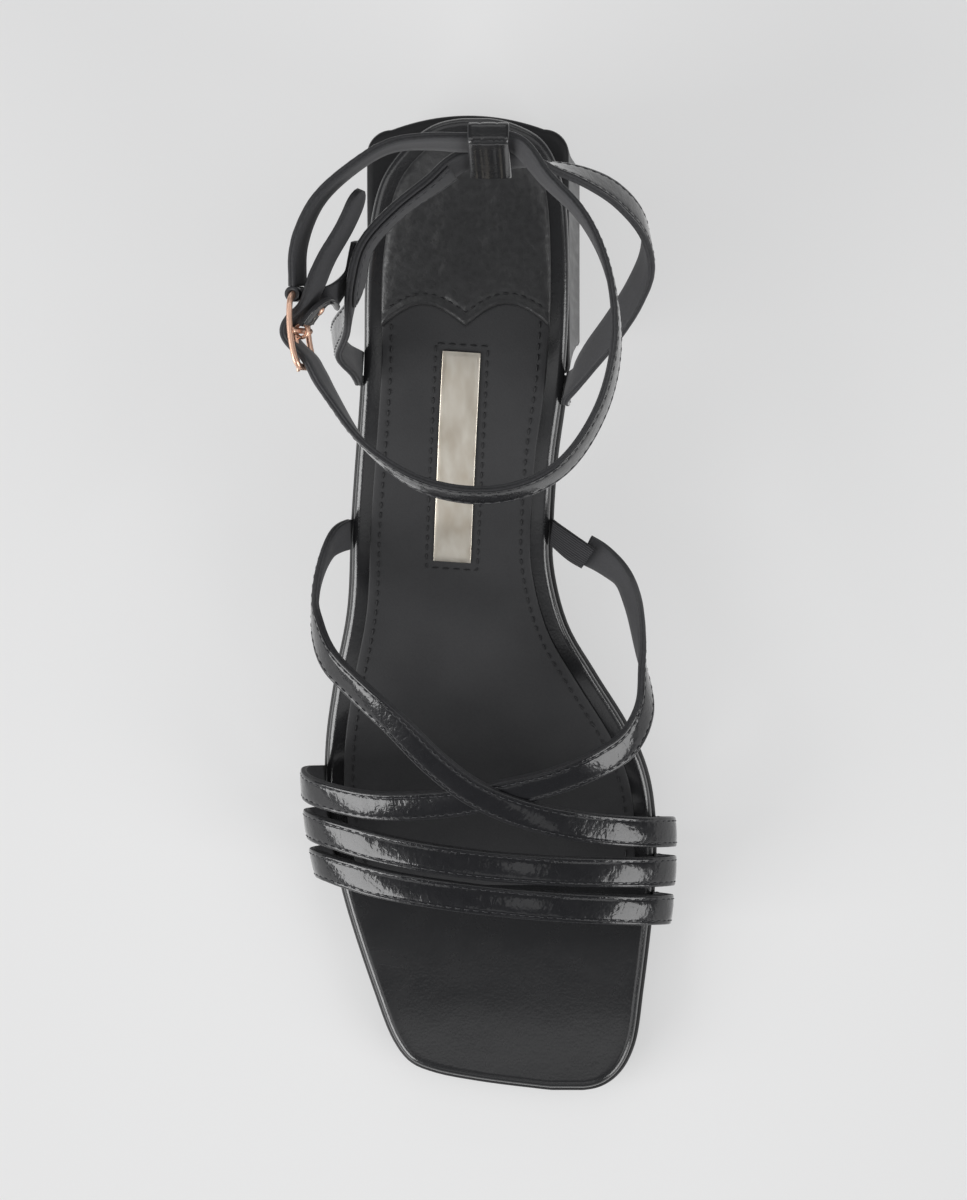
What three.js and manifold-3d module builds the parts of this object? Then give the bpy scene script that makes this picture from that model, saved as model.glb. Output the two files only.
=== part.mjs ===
import * as THREE from 'three';
import Module from 'manifold-3d';
import { mergeVertices } from 'three/addons/utils/BufferGeometryUtils.js';

// A right-foot sandal with crossed forefoot straps, a buckled ankle strap and a square block heel.
// Millimetres. +X points to the inner side of the foot, +Y to the heel and +Z up.
// The origin is on the floor, in the middle of the heel's rest face.

const wasm = await Module();
wasm.setup();

// Last
const soleLength = 238;
const ballWidth = 81;
const heelLift = 58;
const toeSpring = 4.5;
const instepHeight = 54;

// Sole
const insoleThickness = 5;
const insoleEdgeRadius = 2.2;
const insoleFootRadius = 0.6;
const outsoleThickness = 3;
const outsoleOverhang = 0.9;
const outsoleEdgeRadius = 0.6;
const outsoleFootRadius = 0.3;
const breastSetback = 61;
const liningThickness = 0.9;
const liningInset = 4.4;
const liningFrontShare = 0.785;
const padThickness = 1.1;
const padCrown = 1.4;
const padLength = 46;
const padScallop = 5.2;
const plateWidth = 9.2;
const plateLength = 50.5;
const plateThickness = 0.5;
const plateSetback = 81.5;
const plateOffset = -3.2;
const plateTurn = 3.8;

// Heel
const heelRestLength = 52;
const heelWidth = 49;
const heelFlare = 1.2;
const heelCornerRadius = 6;
const heelBow = 3.4;
const heelShoulder = 1;
const topPieceThickness = 6;

// Straps
const strapThickness = 1.8;
const strapWidth = 7.5;
const slingWidth = 8.4;
const ankleStrapWidth = 8;
const ankleStrapThickness = 1.6;
const elasticWidth = 6.5;
const elasticThickness = 1.2;
const elasticEase = 1.7;
const ankleWidth = 74;
const ankleLength = 82;
const ankleRise = 62;
const ankleSetback = 13.7;

// Keeper loop at the back of the ankle
const keeperWidth = 9.5;
const keeperWall = 1.3;
const keeperLean = 20;
const keeperPlay = 0.6;

// Buckle
const buckleLength = 18.5;
const buckleHeight = 12.6;
const buckleWire = 1.6;
const buckleCorner = 2.6;
const buckleLean = 18;
const buckleSwing = 5.4;
const tabWidth = 6.5;
const tabThickness = 1.2;
const tabTurn = 42;
const tabDrop = 2;
const tabEase = 0.5;
const prongWire = 1.2;
const prongCoilWidth = 1.9;
const prongCoilWall = 0.85;
const foldThickness = 0.9;

// Clearance between pieces that touch
const clearance = 0.3;

const seatBack = heelRestLength / 2 - heelShoulder + 0.6;
const alongToY = (along) => seatBack - along * soleLength;
const yToAlong = (y) => (seatBack - y) / soleLength;

// Plan of the sole, shares of soleLength from the heel and of ballWidth from the heel's centre line
const outerEdge = [
  { along: 0.0015, across: -0.035 },
  { along: 0.007, across: -0.098 },
  { along: 0.022, across: -0.165 },
  { along: 0.06, across: -0.252 },
  { along: 0.133, across: -0.3 },
  { along: 0.258, across: -0.316 },
  { along: 0.408, across: -0.358 },
  { along: 0.497, across: -0.379 },
  { along: 0.57, across: -0.426 },
  { along: 0.637, across: -0.458 },
  { along: 0.7, across: -0.461 },
  { along: 0.789, across: -0.415 },
  { along: 0.898, across: -0.312 },
  { along: 0.95, across: -0.25 },
  { along: 0.971, across: -0.2 },
  { along: 0.981, across: -0.13 },
  { along: 0.989, across: -0.01 },
  { along: 0.996, across: 0.15 },
  { along: 0.9995, across: 0.27 },
];
const innerEdge = [
  { along: 0.0005, across: 0.06 },
  { along: 0.007, across: 0.145 },
  { along: 0.025, across: 0.232 },
  { along: 0.065, across: 0.284 },
  { along: 0.143, across: 0.303 },
  { along: 0.258, across: 0.288 },
  { along: 0.344, across: 0.252 },
  { along: 0.405, across: 0.237 },
  { along: 0.45, across: 0.234 },
  { along: 0.513, across: 0.277 },
  { along: 0.563, across: 0.36 },
  { along: 0.622, across: 0.466 },
  { along: 0.665, across: 0.519 },
  { along: 0.708, across: 0.541 },
  { along: 0.772, across: 0.544 },
  { along: 0.898, across: 0.505 },
  { along: 0.955, across: 0.478 },
  { along: 0.982, across: 0.435 },
  { along: 0.996, across: 0.375 },
];

// Side view of the bed: pitch is the share of heelLift, spring the share of toeSpring
const bedLine = [
  { along: 0, pitch: 1, spring: 0 },
  { along: 0.08, pitch: 0.98, spring: 0 },
  { along: 0.16, pitch: 0.93, spring: 0 },
  { along: 0.24, pitch: 0.85, spring: 0 },
  { along: 0.32, pitch: 0.735, spring: 0 },
  { along: 0.4, pitch: 0.58, spring: 0 },
  { along: 0.48, pitch: 0.405, spring: 0 },
  { along: 0.56, pitch: 0.235, spring: 0 },
  { along: 0.64, pitch: 0.095, spring: 0 },
  { along: 0.72, pitch: 0, spring: 0 },
  { along: 0.82, pitch: 0, spring: 0 },
  { along: 0.9, pitch: 0, spring: 0.28 },
  { along: 1, pitch: 0, spring: 1 },
];

// Section of the last from its outer edge (girth 0) over the top to its inner edge (girth 1):
// side is the share from the sole's centre line to its edge, rise the share of the last's height
const lastSection = [
  { girth: 0, side: -1, rise: 0 },
  { girth: 0.1, side: -1.09, rise: 0.22 },
  { girth: 0.2, side: -1.05, rise: 0.47 },
  { girth: 0.32, side: -0.82, rise: 0.72 },
  { girth: 0.46, side: -0.4, rise: 0.92 },
  { girth: 0.6, side: 0.1, rise: 1 },
  { girth: 0.73, side: 0.55, rise: 0.95 },
  { girth: 0.84, side: 0.9, rise: 0.72 },
  { girth: 0.93, side: 1.07, rise: 0.4 },
  { girth: 1, side: 1, rise: 0 },
];
const lastHeight = [
  { along: 0.36, height: 1 },
  { along: 0.45, height: 0.96 },
  { along: 0.55, height: 0.84 },
  { along: 0.63, height: 0.72 },
  { along: 0.7, height: 0.62 },
  { along: 0.76, height: 0.55 },
  { along: 0.8, height: 0.51 },
  { along: 0.9, height: 0.42 },
];

// Straps over the forefoot as lines on the last; standOff is a share of ballWidth
const frontBandLine = [
  { girth: 0.1, along: 0.76, standOff: 0 },
  { girth: 0.2, along: 0.763, standOff: 0 },
  { girth: 0.3, along: 0.773, standOff: 0 },
  { girth: 0.39, along: 0.783, standOff: 0 },
  { girth: 0.53, along: 0.795, standOff: 0 },
  { girth: 0.67, along: 0.803, standOff: 0 },
  { girth: 0.82, along: 0.808, standOff: 0 },
  { girth: 0.93, along: 0.809, standOff: 0.012 },
];
const middleBandLine = [
  { girth: 0.1, along: 0.72, standOff: 0 },
  { girth: 0.2, along: 0.724, standOff: 0 },
  { girth: 0.3, along: 0.734, standOff: 0 },
  { girth: 0.41, along: 0.747, standOff: 0 },
  { girth: 0.54, along: 0.759, standOff: 0 },
  { girth: 0.67, along: 0.766, standOff: 0 },
  { girth: 0.82, along: 0.769, standOff: 0 },
  { girth: 0.93, along: 0.769, standOff: 0.012 },
];
const lowerCrossLine = [
  { girth: 0.1, along: 0.677, standOff: 0 },
  { girth: 0.2, along: 0.684, standOff: 0 },
  { girth: 0.3, along: 0.693, standOff: 0 },
  { girth: 0.39, along: 0.699, standOff: 0 },
  { girth: 0.51, along: 0.696, standOff: 0 },
  { girth: 0.6, along: 0.686, standOff: 0 },
  { girth: 0.7, along: 0.672, standOff: 0 },
  { girth: 0.78, along: 0.655, standOff: 0 },
  { girth: 0.85, along: 0.635, standOff: 0.018 },
  { girth: 0.9, along: 0.607, standOff: 0.06 },
  { girth: 0.93, along: 0.573, standOff: 0.115, droop: 0.08 },
  { girth: 0.945, along: 0.53, standOff: 0.185, droop: 0.3 },
  { girth: 0.955, along: 0.485, standOff: 0.185, droop: 0.7 },
  { girth: 0.965, along: 0.452, standOff: 0.13, droop: 1.1 },
  { girth: 0.972, along: 0.438, standOff: 0.09, droop: 1.3 },
];
const upperCrossLine = [
  { girth: 0.06, along: 0.432, standOff: 0.022 },
  { girth: 0.11, along: 0.468, standOff: 0.048 },
  { girth: 0.16, along: 0.508, standOff: 0.044 },
  { girth: 0.26, along: 0.545, standOff: 0.022 },
  { girth: 0.36, along: 0.578, standOff: 0.012 },
  { girth: 0.44, along: 0.612, standOff: 0.014 },
  { girth: 0.5, along: 0.648, standOff: 0.018 },
  { girth: 0.56, along: 0.68, standOff: 0.018 },
  { girth: 0.64, along: 0.705, standOff: 0.012 },
  { girth: 0.73, along: 0.72, standOff: 0 },
  { girth: 0.83, along: 0.727, standOff: 0 },
  { girth: 0.93, along: 0.729, standOff: 0.012 },
];

// Straps round the ankle: across is a share of ankleWidth, ahead of ankleLength forward of the
// keeper, rise of ankleRise above the heel seat, and tip turns the face from up to outward
const slingLine = [
  { across: 0.345, ahead: 0.61, rise: -0.09, tip: 112 },
  { across: 0.4, ahead: 0.545, rise: 0.02, tip: 120 },
  { across: 0.475, ahead: 0.465, rise: 0.14, tip: 118 },
  { across: 0.55, ahead: 0.37, rise: 0.28, tip: 106 },
  { across: 0.594, ahead: 0.275, rise: 0.42, tip: 90 },
  { across: 0.575, ahead: 0.183, rise: 0.54, tip: 70 },
  { across: 0.496, ahead: 0.105, rise: 0.64, tip: 62 },
  { across: 0.391, ahead: 0.06, rise: 0.735, tip: 74 },
  { across: 0.27, ahead: 0.035, rise: 0.815, tip: 92 },
];
const slingOuterLine = [
  { across: -0.076, ahead: 0.084, rise: 0.868, tip: 104 },
  { across: -0.195, ahead: 0.166, rise: 0.885, tip: 98 },
  { across: -0.29, ahead: 0.265, rise: 0.895, tip: 97 },
  { across: -0.318, ahead: 0.36, rise: 0.875, tip: 99 },
  { across: -0.34, ahead: 0.445, rise: 0.75, tip: 101 },
  { across: -0.398, ahead: 0.51, rise: 0.47, tip: 98 },
  { across: -0.375, ahead: 0.552, rise: 0.16, tip: 94 },
];
const ankleFrontLine = [
  { across: -0.388, ahead: 0.69, rise: 0.972, tip: 102 },
  { across: -0.275, ahead: 0.834, rise: 0.968, tip: 88 },
  { across: -0.09, ahead: 0.944, rise: 0.963, tip: 74 },
  { across: 0.134, ahead: 0.967, rise: 0.947, tip: 70 },
  { across: 0.321, ahead: 0.899, rise: 0.947, tip: 72 },
  { across: 0.452, ahead: 0.731, rise: 0.963, tip: 78 },
  { across: 0.501, ahead: 0.531, rise: 0.995, tip: 84 },
  { across: 0.471, ahead: 0.33, rise: 1.01, tip: 92 },
  { across: 0.397, ahead: 0.19, rise: 1.01, tip: 100 },
  { across: 0.285, ahead: 0.083, rise: 1.005, tip: 106 },
];
const ankleBackLine = [
  { across: -0.08, ahead: -0.022, rise: 1.005, tip: 105 },
  { across: -0.2, ahead: -0.01, rise: 1.01, tip: 99 },
  { across: -0.31, ahead: 0.046, rise: 1.01, tip: 97 },
  { across: -0.43, ahead: 0.146, rise: 1, tip: 101 },
  { across: -0.488, ahead: 0.27, rise: 0.982, tip: 106 },
];
const tailLine = [
  { across: -0.292, ahead: 0.112, rise: 0.99, tip: 104 },
  { across: -0.342, ahead: 0.213, rise: 0.985, tip: 106 },
  { across: -0.403, ahead: 0.307, rise: 0.98, tip: 108 },
];

// Where each strap goes down beside the insole, as shares of soleLength
const strapSeats = {
  frontBand: { outer: 0.759, inner: 0.809 },
  middleBand: { outer: 0.719, inner: 0.769 },
  lowerCross: { outer: 0.676 },
  upperCross: { outer: 0.42, inner: 0.73 },
  elasticTab: { inner: 0.418 },
  sling: { outer: 0.252, inner: 0.272 },
};

// Smooth reading of a table's column, with no overshoot between its rows
function readColumn(rows, key, column, at) {
  const last = rows.length - 1;
  const place = Math.min(Math.max(at, rows[0][key]), rows[last][key]);
  const step = (i) => rows[i + 1][key] - rows[i][key];
  const slope = (i) => (rows[i + 1][column] - rows[i][column]) / step(i);
  const tangent = (i) => {
    if (i === 0) return slope(0);
    if (i === last) return slope(last - 1);
    const before = slope(i - 1);
    const after = slope(i);
    if (before * after <= 0) return 0;
    const heavy = 2 * step(i) + step(i - 1);
    const light = step(i) + 2 * step(i - 1);
    return (heavy + light) / (heavy / before + light / after);
  };
  let i = 0;
  while (i < last - 1 && place > rows[i + 1][key]) i += 1;
  const t = (place - rows[i][key]) / step(i);
  const startWeight = 2 * t ** 3 - 3 * t ** 2 + 1;
  const endWeight = 3 * t ** 2 - 2 * t ** 3;
  const startPull = (t ** 3 - 2 * t ** 2 + t) * step(i) * tangent(i);
  const endPull = (t ** 3 - t ** 2) * step(i) * tangent(i + 1);
  return startWeight * rows[i][column] + startPull + endWeight * rows[i + 1][column] + endPull;
}

// Heights of the bed
function insoleUnder(y) {
  const along = yToAlong(y);
  const pitch = readColumn(bedLine, 'along', 'pitch', along);
  const spring = readColumn(bedLine, 'along', 'spring', along);
  return outsoleThickness + clearance + heelLift * pitch + toeSpring * spring;
}
const insoleTop = (y) => insoleUnder(y) + insoleThickness;

// The sole's plan as a closed loop of points, and loops set in from it
const planPoint = (row) => new THREE.Vector3(row.across * ballWidth, alongToY(row.along), 0);
const planCorners = [...outerEdge.map(planPoint), ...innerEdge.map(planPoint).reverse()];
const planPoints = 480;
const planCurve = new THREE.CatmullRomCurve3(planCorners, true, 'centripetal');
const solePlan = planCurve.getPoints(planPoints).slice(1);

function setIn(loop, distance) {
  return loop.map((point, i) => {
    const before = loop[(i + loop.length - 1) % loop.length];
    const after = loop[(i + 1) % loop.length];
    const side = after.clone().sub(before).normalize();
    return new THREE.Vector3(point.x - side.y * distance, point.y + side.x * distance, 0);
  });
}

function edgesAt(loop, y) {
  const crossings = [];
  loop.forEach((point, i) => {
    const next = loop[(i + 1) % loop.length];
    if ((point.y - y) * (next.y - y) > 0 || point.y === next.y) return;
    crossings.push(point.x + ((next.x - point.x) * (y - point.y)) / (next.y - point.y));
  });
  return [Math.min(...crossings), Math.max(...crossings)];
}

const planRange = (loop) => [Math.max(...loop.map((p) => p.y)), Math.min(...loop.map((p) => p.y))];

// Stations from back to front, closer together near a rounded end
function stations(back, front, count, roundBack, roundFront) {
  const inset = 0.0012;
  const start = roundBack ? inset : 0;
  const end = roundFront ? 1 - inset : 1;
  const ease = (t) => {
    if (roundBack && roundFront) return (1 - Math.cos(Math.PI * t)) / 2;
    if (roundBack) return 1 - Math.cos((Math.PI / 2) * t);
    return Math.sin((Math.PI / 2) * t);
  };
  return Array.from({ length: count }, (_, i) => {
    const share = start + (end - start) * ease(i / (count - 1));
    return back + (front - back) * share;
  });
}

// A grid of points over a loop: rows go from back to front, columns from the outer to the inner side
function gridOver(loop, ys, columns, heightAt, shiftAt = () => 0) {
  return ys.map((y, row) => {
    const [outer, inner] = edgesAt(loop, y);
    return Array.from({ length: columns + 1 }, (_, column) => {
      const share = column / columns;
      const x = outer + (inner - outer) * share;
      const shifted = y + shiftAt(share, row / (ys.length - 1));
      return new THREE.Vector3(x, shifted, heightAt(x, shifted, share, row / (ys.length - 1)));
    });
  });
}

// The border of a grid, once round, anticlockwise seen from above
function borderOf(grid) {
  const lastRow = grid.length - 1;
  const lastColumn = grid[0].length - 1;
  const border = [];
  for (let row = 0; row < lastRow; row += 1) border.push(grid[row][0]);
  for (let column = 0; column < lastColumn; column += 1) border.push(grid[lastRow][column]);
  for (let row = lastRow; row > 0; row -= 1) border.push(grid[row][lastColumn]);
  for (let column = lastColumn; column > 0; column -= 1) border.push(grid[0][column]);
  return border;
}

function pushOut(border, distance, heightAt) {
  return border.map((point, i) => {
    const before = border[(i + border.length - 1) % border.length];
    const after = border[(i + 1) % border.length];
    const side = new THREE.Vector3(after.x - before.x, after.y - before.y, 0).normalize();
    const x = point.x + side.y * distance;
    const y = point.y - side.x * distance;
    return new THREE.Vector3(x, y, heightAt(x, y));
  });
}

// A closed body: a top grid, rings of its wall from the top down, and a bottom grid
function bodyBetween(top, rings, bottom) {
  const positions = [];
  const faces = [];
  const addGrid = (grid, up) => {
    const start = positions.length / 3;
    const width = grid[0].length;
    grid.flat().forEach((p) => positions.push(p.x, p.y, p.z));
    for (let row = 0; row < grid.length - 1; row += 1) {
      for (let column = 0; column < width - 1; column += 1) {
        const a = start + row * width + column;
        const [b, c, d] = [a + 1, a + width, a + width + 1];
        if (up) faces.push(a, c, b, b, c, d);
        else faces.push(a, b, c, b, d, c);
      }
    }
  };
  const addWall = (upper, lower) => {
    const start = positions.length / 3;
    upper.forEach((p) => positions.push(p.x, p.y, p.z));
    lower.forEach((p) => positions.push(p.x, p.y, p.z));
    const count = upper.length;
    for (let i = 0; i < count; i += 1) {
      const next = (i + 1) % count;
      const [a, b, c, d] = [start + i, start + next, start + count + i, start + count + next];
      faces.push(a, c, b, b, c, d);
    }
  };
  addGrid(top, true);
  const walls = [borderOf(top), ...rings, borderOf(bottom)];
  for (let i = 0; i < walls.length - 1; i += 1) addWall(walls[i], walls[i + 1]);
  addGrid(bottom, false);
  return weld(positions, faces);
}

function weld(positions, faces) {
  const geometry = new THREE.BufferGeometry();
  geometry.setAttribute('position', new THREE.Float32BufferAttribute(positions, 3));
  geometry.setIndex(faces);
  return mergeVertices(geometry, 1e-4);
}

// A slab whose edge is rounded at the top and, more tightly, at the bottom
function slab(plan, ys, columns, heights, thickness, topRadius, bottomRadius) {
  const loop = setIn(plan, topRadius);
  const top = gridOver(loop, ys, columns, heights);
  const under = (x, y, share, row) => heights(x, y, share, row) - thickness;
  const bottom = gridOver(loop, ys, columns, under);
  const border = borderOf(top);
  const rings = [];
  for (const turn of [30, 60, 90]) {
    const angle = THREE.MathUtils.degToRad(turn);
    const drop = topRadius * (1 - Math.cos(angle));
    rings.push(pushOut(border, topRadius * Math.sin(angle), (x, y) => heights(x, y) - drop));
  }
  rings.push(pushOut(border, topRadius, (x, y) => heights(x, y) - thickness + bottomRadius));
  rings.push(pushOut(border, topRadius - bottomRadius, (x, y) => heights(x, y) - thickness));
  return bodyBetween(top, rings, bottom);
}

// A thin sheet with a plain edge
function sheet(top, thickness) {
  const bottom = top.map((row) => row.map((p) => new THREE.Vector3(p.x, p.y, p.z - thickness)));
  return bodyBetween(top, [], bottom);
}

function makeInsole() {
  const [back, front] = planRange(setIn(solePlan, insoleEdgeRadius));
  const ys = stations(back, front, 36, true, true);
  return slab(solePlan, ys, 3, (x, y) => insoleTop(y), insoleThickness, insoleEdgeRadius, insoleFootRadius);
}

const breastY = seatBack - breastSetback;

function makeOutsole() {
  const plan = setIn(solePlan, -outsoleOverhang);
  const [, front] = planRange(setIn(plan, outsoleEdgeRadius));
  const ys = stations(breastY - clearance - outsoleEdgeRadius, front, 30, false, true);
  const top = (x, y) => insoleUnder(y) - clearance;
  return slab(plan, ys, 3, top, outsoleThickness, outsoleEdgeRadius, outsoleFootRadius);
}

const liningTop = (y) => insoleTop(y) + clearance + liningThickness;

function makeLining() {
  const plan = setIn(solePlan, liningInset);
  const [back] = planRange(plan);
  const ys = stations(back, alongToY(liningFrontShare), 26, true, false);
  return sheet(gridOver(plan, ys, 3, (x, y) => liningTop(y)), liningThickness);
}

// The heel pad swells in the middle, and two scallops meet in a point at its front
function makeHeelPad() {
  const plan = setIn(solePlan, liningInset);
  const [back] = planRange(plan);
  const ys = stations(back, back - padLength, 12, true, false);
  const scallop = (share, row) => padScallop * Math.sin(Math.PI * ((2 * share) % 1)) * row ** 3;
  const swell = (share, row) => Math.sin(Math.PI * share) * Math.sin(Math.PI * row);
  const top = (x, y, share, row) => liningTop(y) + clearance + padThickness + padCrown * swell(share, row);
  const upper = gridOver(plan, ys, 12, top, scallop);
  const lower = gridOver(plan, ys, 12, (x, y) => liningTop(y) + clearance, scallop);
  return bodyBetween(upper, [], lower);
}

function makePlate() {
  const steps = 8;
  const turn = THREE.MathUtils.degToRad(plateTurn);
  const rows = Array.from({ length: steps + 1 }, (_, row) => {
    const forward = (row / steps - 0.5) * plateLength;
    return [-0.5, 0.5].map((side) => {
      const x = plateOffset + side * plateWidth * Math.cos(turn) - forward * Math.sin(turn);
      const y = seatBack - plateSetback - forward * Math.cos(turn) - side * plateWidth * Math.sin(turn);
      return new THREE.Vector3(x, y, liningTop(y) + clearance + plateThickness);
    });
  });
  return sheet(rows, plateThickness);
}

// The heel: a square block with rounded upright corners and a bowed back
function heelPlan(halfWidth, back, front) {
  const points = [];
  const arc = (cx, cy, from) => {
    for (let step = 0; step <= 4; step += 1) {
      const angle = THREE.MathUtils.degToRad(from + step * 22.5);
      const [x, y] = [cx + heelCornerRadius * Math.cos(angle), cy + heelCornerRadius * Math.sin(angle)];
      points.push(new THREE.Vector3(x, y, 0));
    }
  };
  const inner = halfWidth - heelCornerRadius;
  const shoulder = back - heelBow - heelCornerRadius;
  arc(inner, shoulder, 0);
  const bowSteps = 8;
  for (let step = 1; step < bowSteps; step += 1) {
    const share = 1 - (2 * step) / bowSteps;
    points.push(new THREE.Vector3(inner * share, back - heelBow * share ** 2, 0));
  }
  arc(-inner, shoulder, 90);
  points.push(new THREE.Vector3(-halfWidth, front, 0), new THREE.Vector3(halfWidth, front, 0));
  return points;
}

function makeHeel() {
  const back = heelRestLength / 2;
  const topPlan = heelPlan(heelWidth / 2, seatBack + heelShoulder, breastY);
  const restPlan = heelPlan(heelWidth / 2 + heelFlare, back, -back);
  const rows = 14;
  const columns = 6;
  const inset = 0.05;
  const topYs = stations(seatBack + heelShoulder - inset, breastY + inset, rows, true, false);
  const restYs = stations(back - inset, -back + inset, rows, true, false);
  const top = gridOver(topPlan, topYs, columns, (x, y) => insoleUnder(y) - clearance);
  const block = gridOver(restPlan, restYs, columns, () => topPieceThickness + clearance);
  const liftTop = gridOver(restPlan, restYs, columns, () => topPieceThickness);
  return { block: bodyBetween(top, [], block), topPiece: sheet(liftTop, topPieceThickness) };
}

// A point on the last and the way its surface faces
function lastPoint(girth, along) {
  const y = alongToY(along);
  const [outer, inner] = edgesAt(solePlan, y);
  const half = (inner - outer) / 2 + clearance;
  const side = readColumn(lastSection, 'girth', 'side', girth);
  const rise = readColumn(lastSection, 'girth', 'rise', girth);
  const height = readColumn(lastHeight, 'along', 'height', along) * instepHeight;
  return new THREE.Vector3((outer + inner) / 2 + side * half, y, insoleTop(y) + rise * height);
}

function lastNormal(girth, along) {
  const nudge = 1e-3;
  const [inward, outward] = [Math.min(girth + nudge, 1), Math.max(girth - nudge, 0)];
  const over = lastPoint(inward, along).sub(lastPoint(outward, along));
  const forward = lastPoint(girth, along + nudge).sub(lastPoint(girth, along - nudge));
  return forward.cross(over).normalize();
}

// The two places where a strap goes down beside the insole onto the outsole
function edgeSeat(sideSign, along, width, thickness) {
  const y = alongToY(along);
  const edges = edgesAt(solePlan, y);
  const step = width / 4;
  const ahead = edgesAt(solePlan, y - step);
  const edge = sideSign < 0 ? edges[0] : edges[1];
  const edgeAhead = sideSign < 0 ? ahead[0] : ahead[1];
  const normal = new THREE.Vector3(step * sideSign, (edgeAhead - edge) * sideSign, 0).normalize();
  const place = (z) => ({
    point: new THREE.Vector3(edge, y, z).addScaledVector(normal, clearance + thickness / 2),
    normal,
  });
  return [place(insoleUnder(y + width / 2)), place(insoleTop(y) - insoleEdgeRadius)];
}

// droop turns a free strap's face down, so that its lining shows from above
function lastRows(rows, thickness) {
  return rows.map(({ girth, along, standOff, droop = 0 }) => {
    const normal = lastNormal(girth, along);
    const out = thickness / 2 + standOff * ballWidth;
    const point = lastPoint(girth, along).addScaledVector(normal, out);
    normal.z -= droop;
    return { point, normal: normal.normalize() };
  });
}

// Rows of an ankle strap, whose face turns about the way the strap runs round the ankle
const ankleBack = new THREE.Vector3(0, seatBack - ankleSetback, insoleTop(seatBack));

const anklePoint = ({ across, ahead, rise }) => new THREE.Vector3(
  across * ankleWidth,
  ankleBack.y - ahead * ankleLength,
  ankleBack.z + rise * ankleRise,
);

function ankleRows(rows) {
  const middle = anklePoint({ across: 0, ahead: 0.45, rise: 0 });
  return rows.map((row) => {
    const point = anklePoint(row);
    const outward = new THREE.Vector3(point.x - middle.x, point.y - middle.y, 0).normalize();
    const tip = THREE.MathUtils.degToRad(row.tip);
    const normal = outward.multiplyScalar(Math.sin(tip)).add(new THREE.Vector3(0, 0, Math.cos(tip)));
    return { point, normal };
  });
}

// Smooth frames along a strap: its middle, its face and its width direction
function strapFrames(rows, stepsPerSpan) {
  const path = new THREE.CatmullRomCurve3(rows.map((row) => row.point), false, 'centripetal');
  const faces = new THREE.CatmullRomCurve3(rows.map((row) => row.normal), false, 'catmullrom', 0.5);
  const count = (rows.length - 1) * stepsPerSpan;
  return Array.from({ length: count + 1 }, (_, i) => {
    const t = i / count;
    const tangent = path.getTangent(t);
    const width = faces.getPoint(t).cross(tangent).normalize();
    return { point: path.getPoint(t), tangent, width, normal: tangent.clone().cross(width).normalize() };
  });
}

// A flat strap with bevelled edges, closed at both ends
function strapBody(frames, width, thickness) {
  const bevel = thickness * 0.28;
  const [w, t] = [width / 2, thickness / 2];
  const section = [
    [w, -t + bevel], [w, t - bevel], [w - bevel, t], [-w + bevel, t],
    [-w, t - bevel], [-w, -t + bevel], [-w + bevel, -t], [w - bevel, -t],
  ];
  const positions = [];
  const faces = [];
  const sides = section.length;
  frames.forEach((frame) => section.forEach(([a, b]) => {
    const p = frame.point.clone().addScaledVector(frame.width, a).addScaledVector(frame.normal, b);
    positions.push(p.x, p.y, p.z);
  }));
  for (let ring = 0; ring < frames.length - 1; ring += 1) {
    for (let side = 0; side < sides; side += 1) {
      const a = ring * sides + side;
      const b = ring * sides + ((side + 1) % sides);
      faces.push(a, b, a + sides, b, b + sides, a + sides);
    }
  }
  const end = (frames.length - 1) * sides;
  for (let side = 1; side < sides - 1; side += 1) {
    faces.push(0, side + 1, side);
    faces.push(end, end + side, end + side + 1);
  }
  return weld(positions, faces);
}

function toSolid(geometry) {
  const bare = geometry.clone();
  bare.deleteAttribute('normal');
  bare.deleteAttribute('uv');
  const welded = mergeVertices(bare, 1e-4);
  return new wasm.Manifold(new wasm.Mesh({
    numProp: 3,
    vertProperties: new Float32Array(welded.attributes.position.array),
    triVerts: new Uint32Array(welded.index.array),
  }));
}

function toGeometry(solid) {
  const mesh = solid.getMesh();
  const geometry = new THREE.BufferGeometry();
  geometry.setAttribute('position', new THREE.Float32BufferAttribute(mesh.vertProperties, 3));
  geometry.setIndex(Array.from(mesh.triVerts));
  return geometry;
}

function makeBand(line, seat) {
  const rows = [
    ...edgeSeat(-1, seat.outer, strapWidth, strapThickness),
    ...lastRows(line, strapThickness),
    ...edgeSeat(1, seat.inner, strapWidth, strapThickness).reverse(),
  ];
  return strapBody(strapFrames(rows, 3), strapWidth, strapThickness);
}

// The two crossed straps, joined where the upper one lies on the lower
function makeCrossedStraps() {
  const seat = edgeSeat(-1, strapSeats.lowerCross.outer, strapWidth, strapThickness);
  const lower = [...seat, ...lastRows(lowerCrossLine, strapThickness)];
  const lowerBody = strapBody(strapFrames(lower, 3), strapWidth, strapThickness);
  const upperBody = makeBand(upperCrossLine, strapSeats.upperCross);
  return toGeometry(toSolid(lowerBody).add(toSolid(upperBody)));
}

// The short elastic tab that ties the lower crossed strap to the inner side of the waist
function makeElasticTab() {
  const sewn = lastRows(lowerCrossLine.slice(-2), -elasticThickness);
  sewn.forEach((row) => row.point.addScaledVector(row.normal, -clearance - elasticEase));
  const seat = edgeSeat(1, strapSeats.elasticTab.inner, elasticWidth, elasticThickness);
  const rows = [...seat, ...sewn.reverse()];
  return strapBody(strapFrames(rows, 4), elasticWidth, elasticThickness);
}

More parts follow.
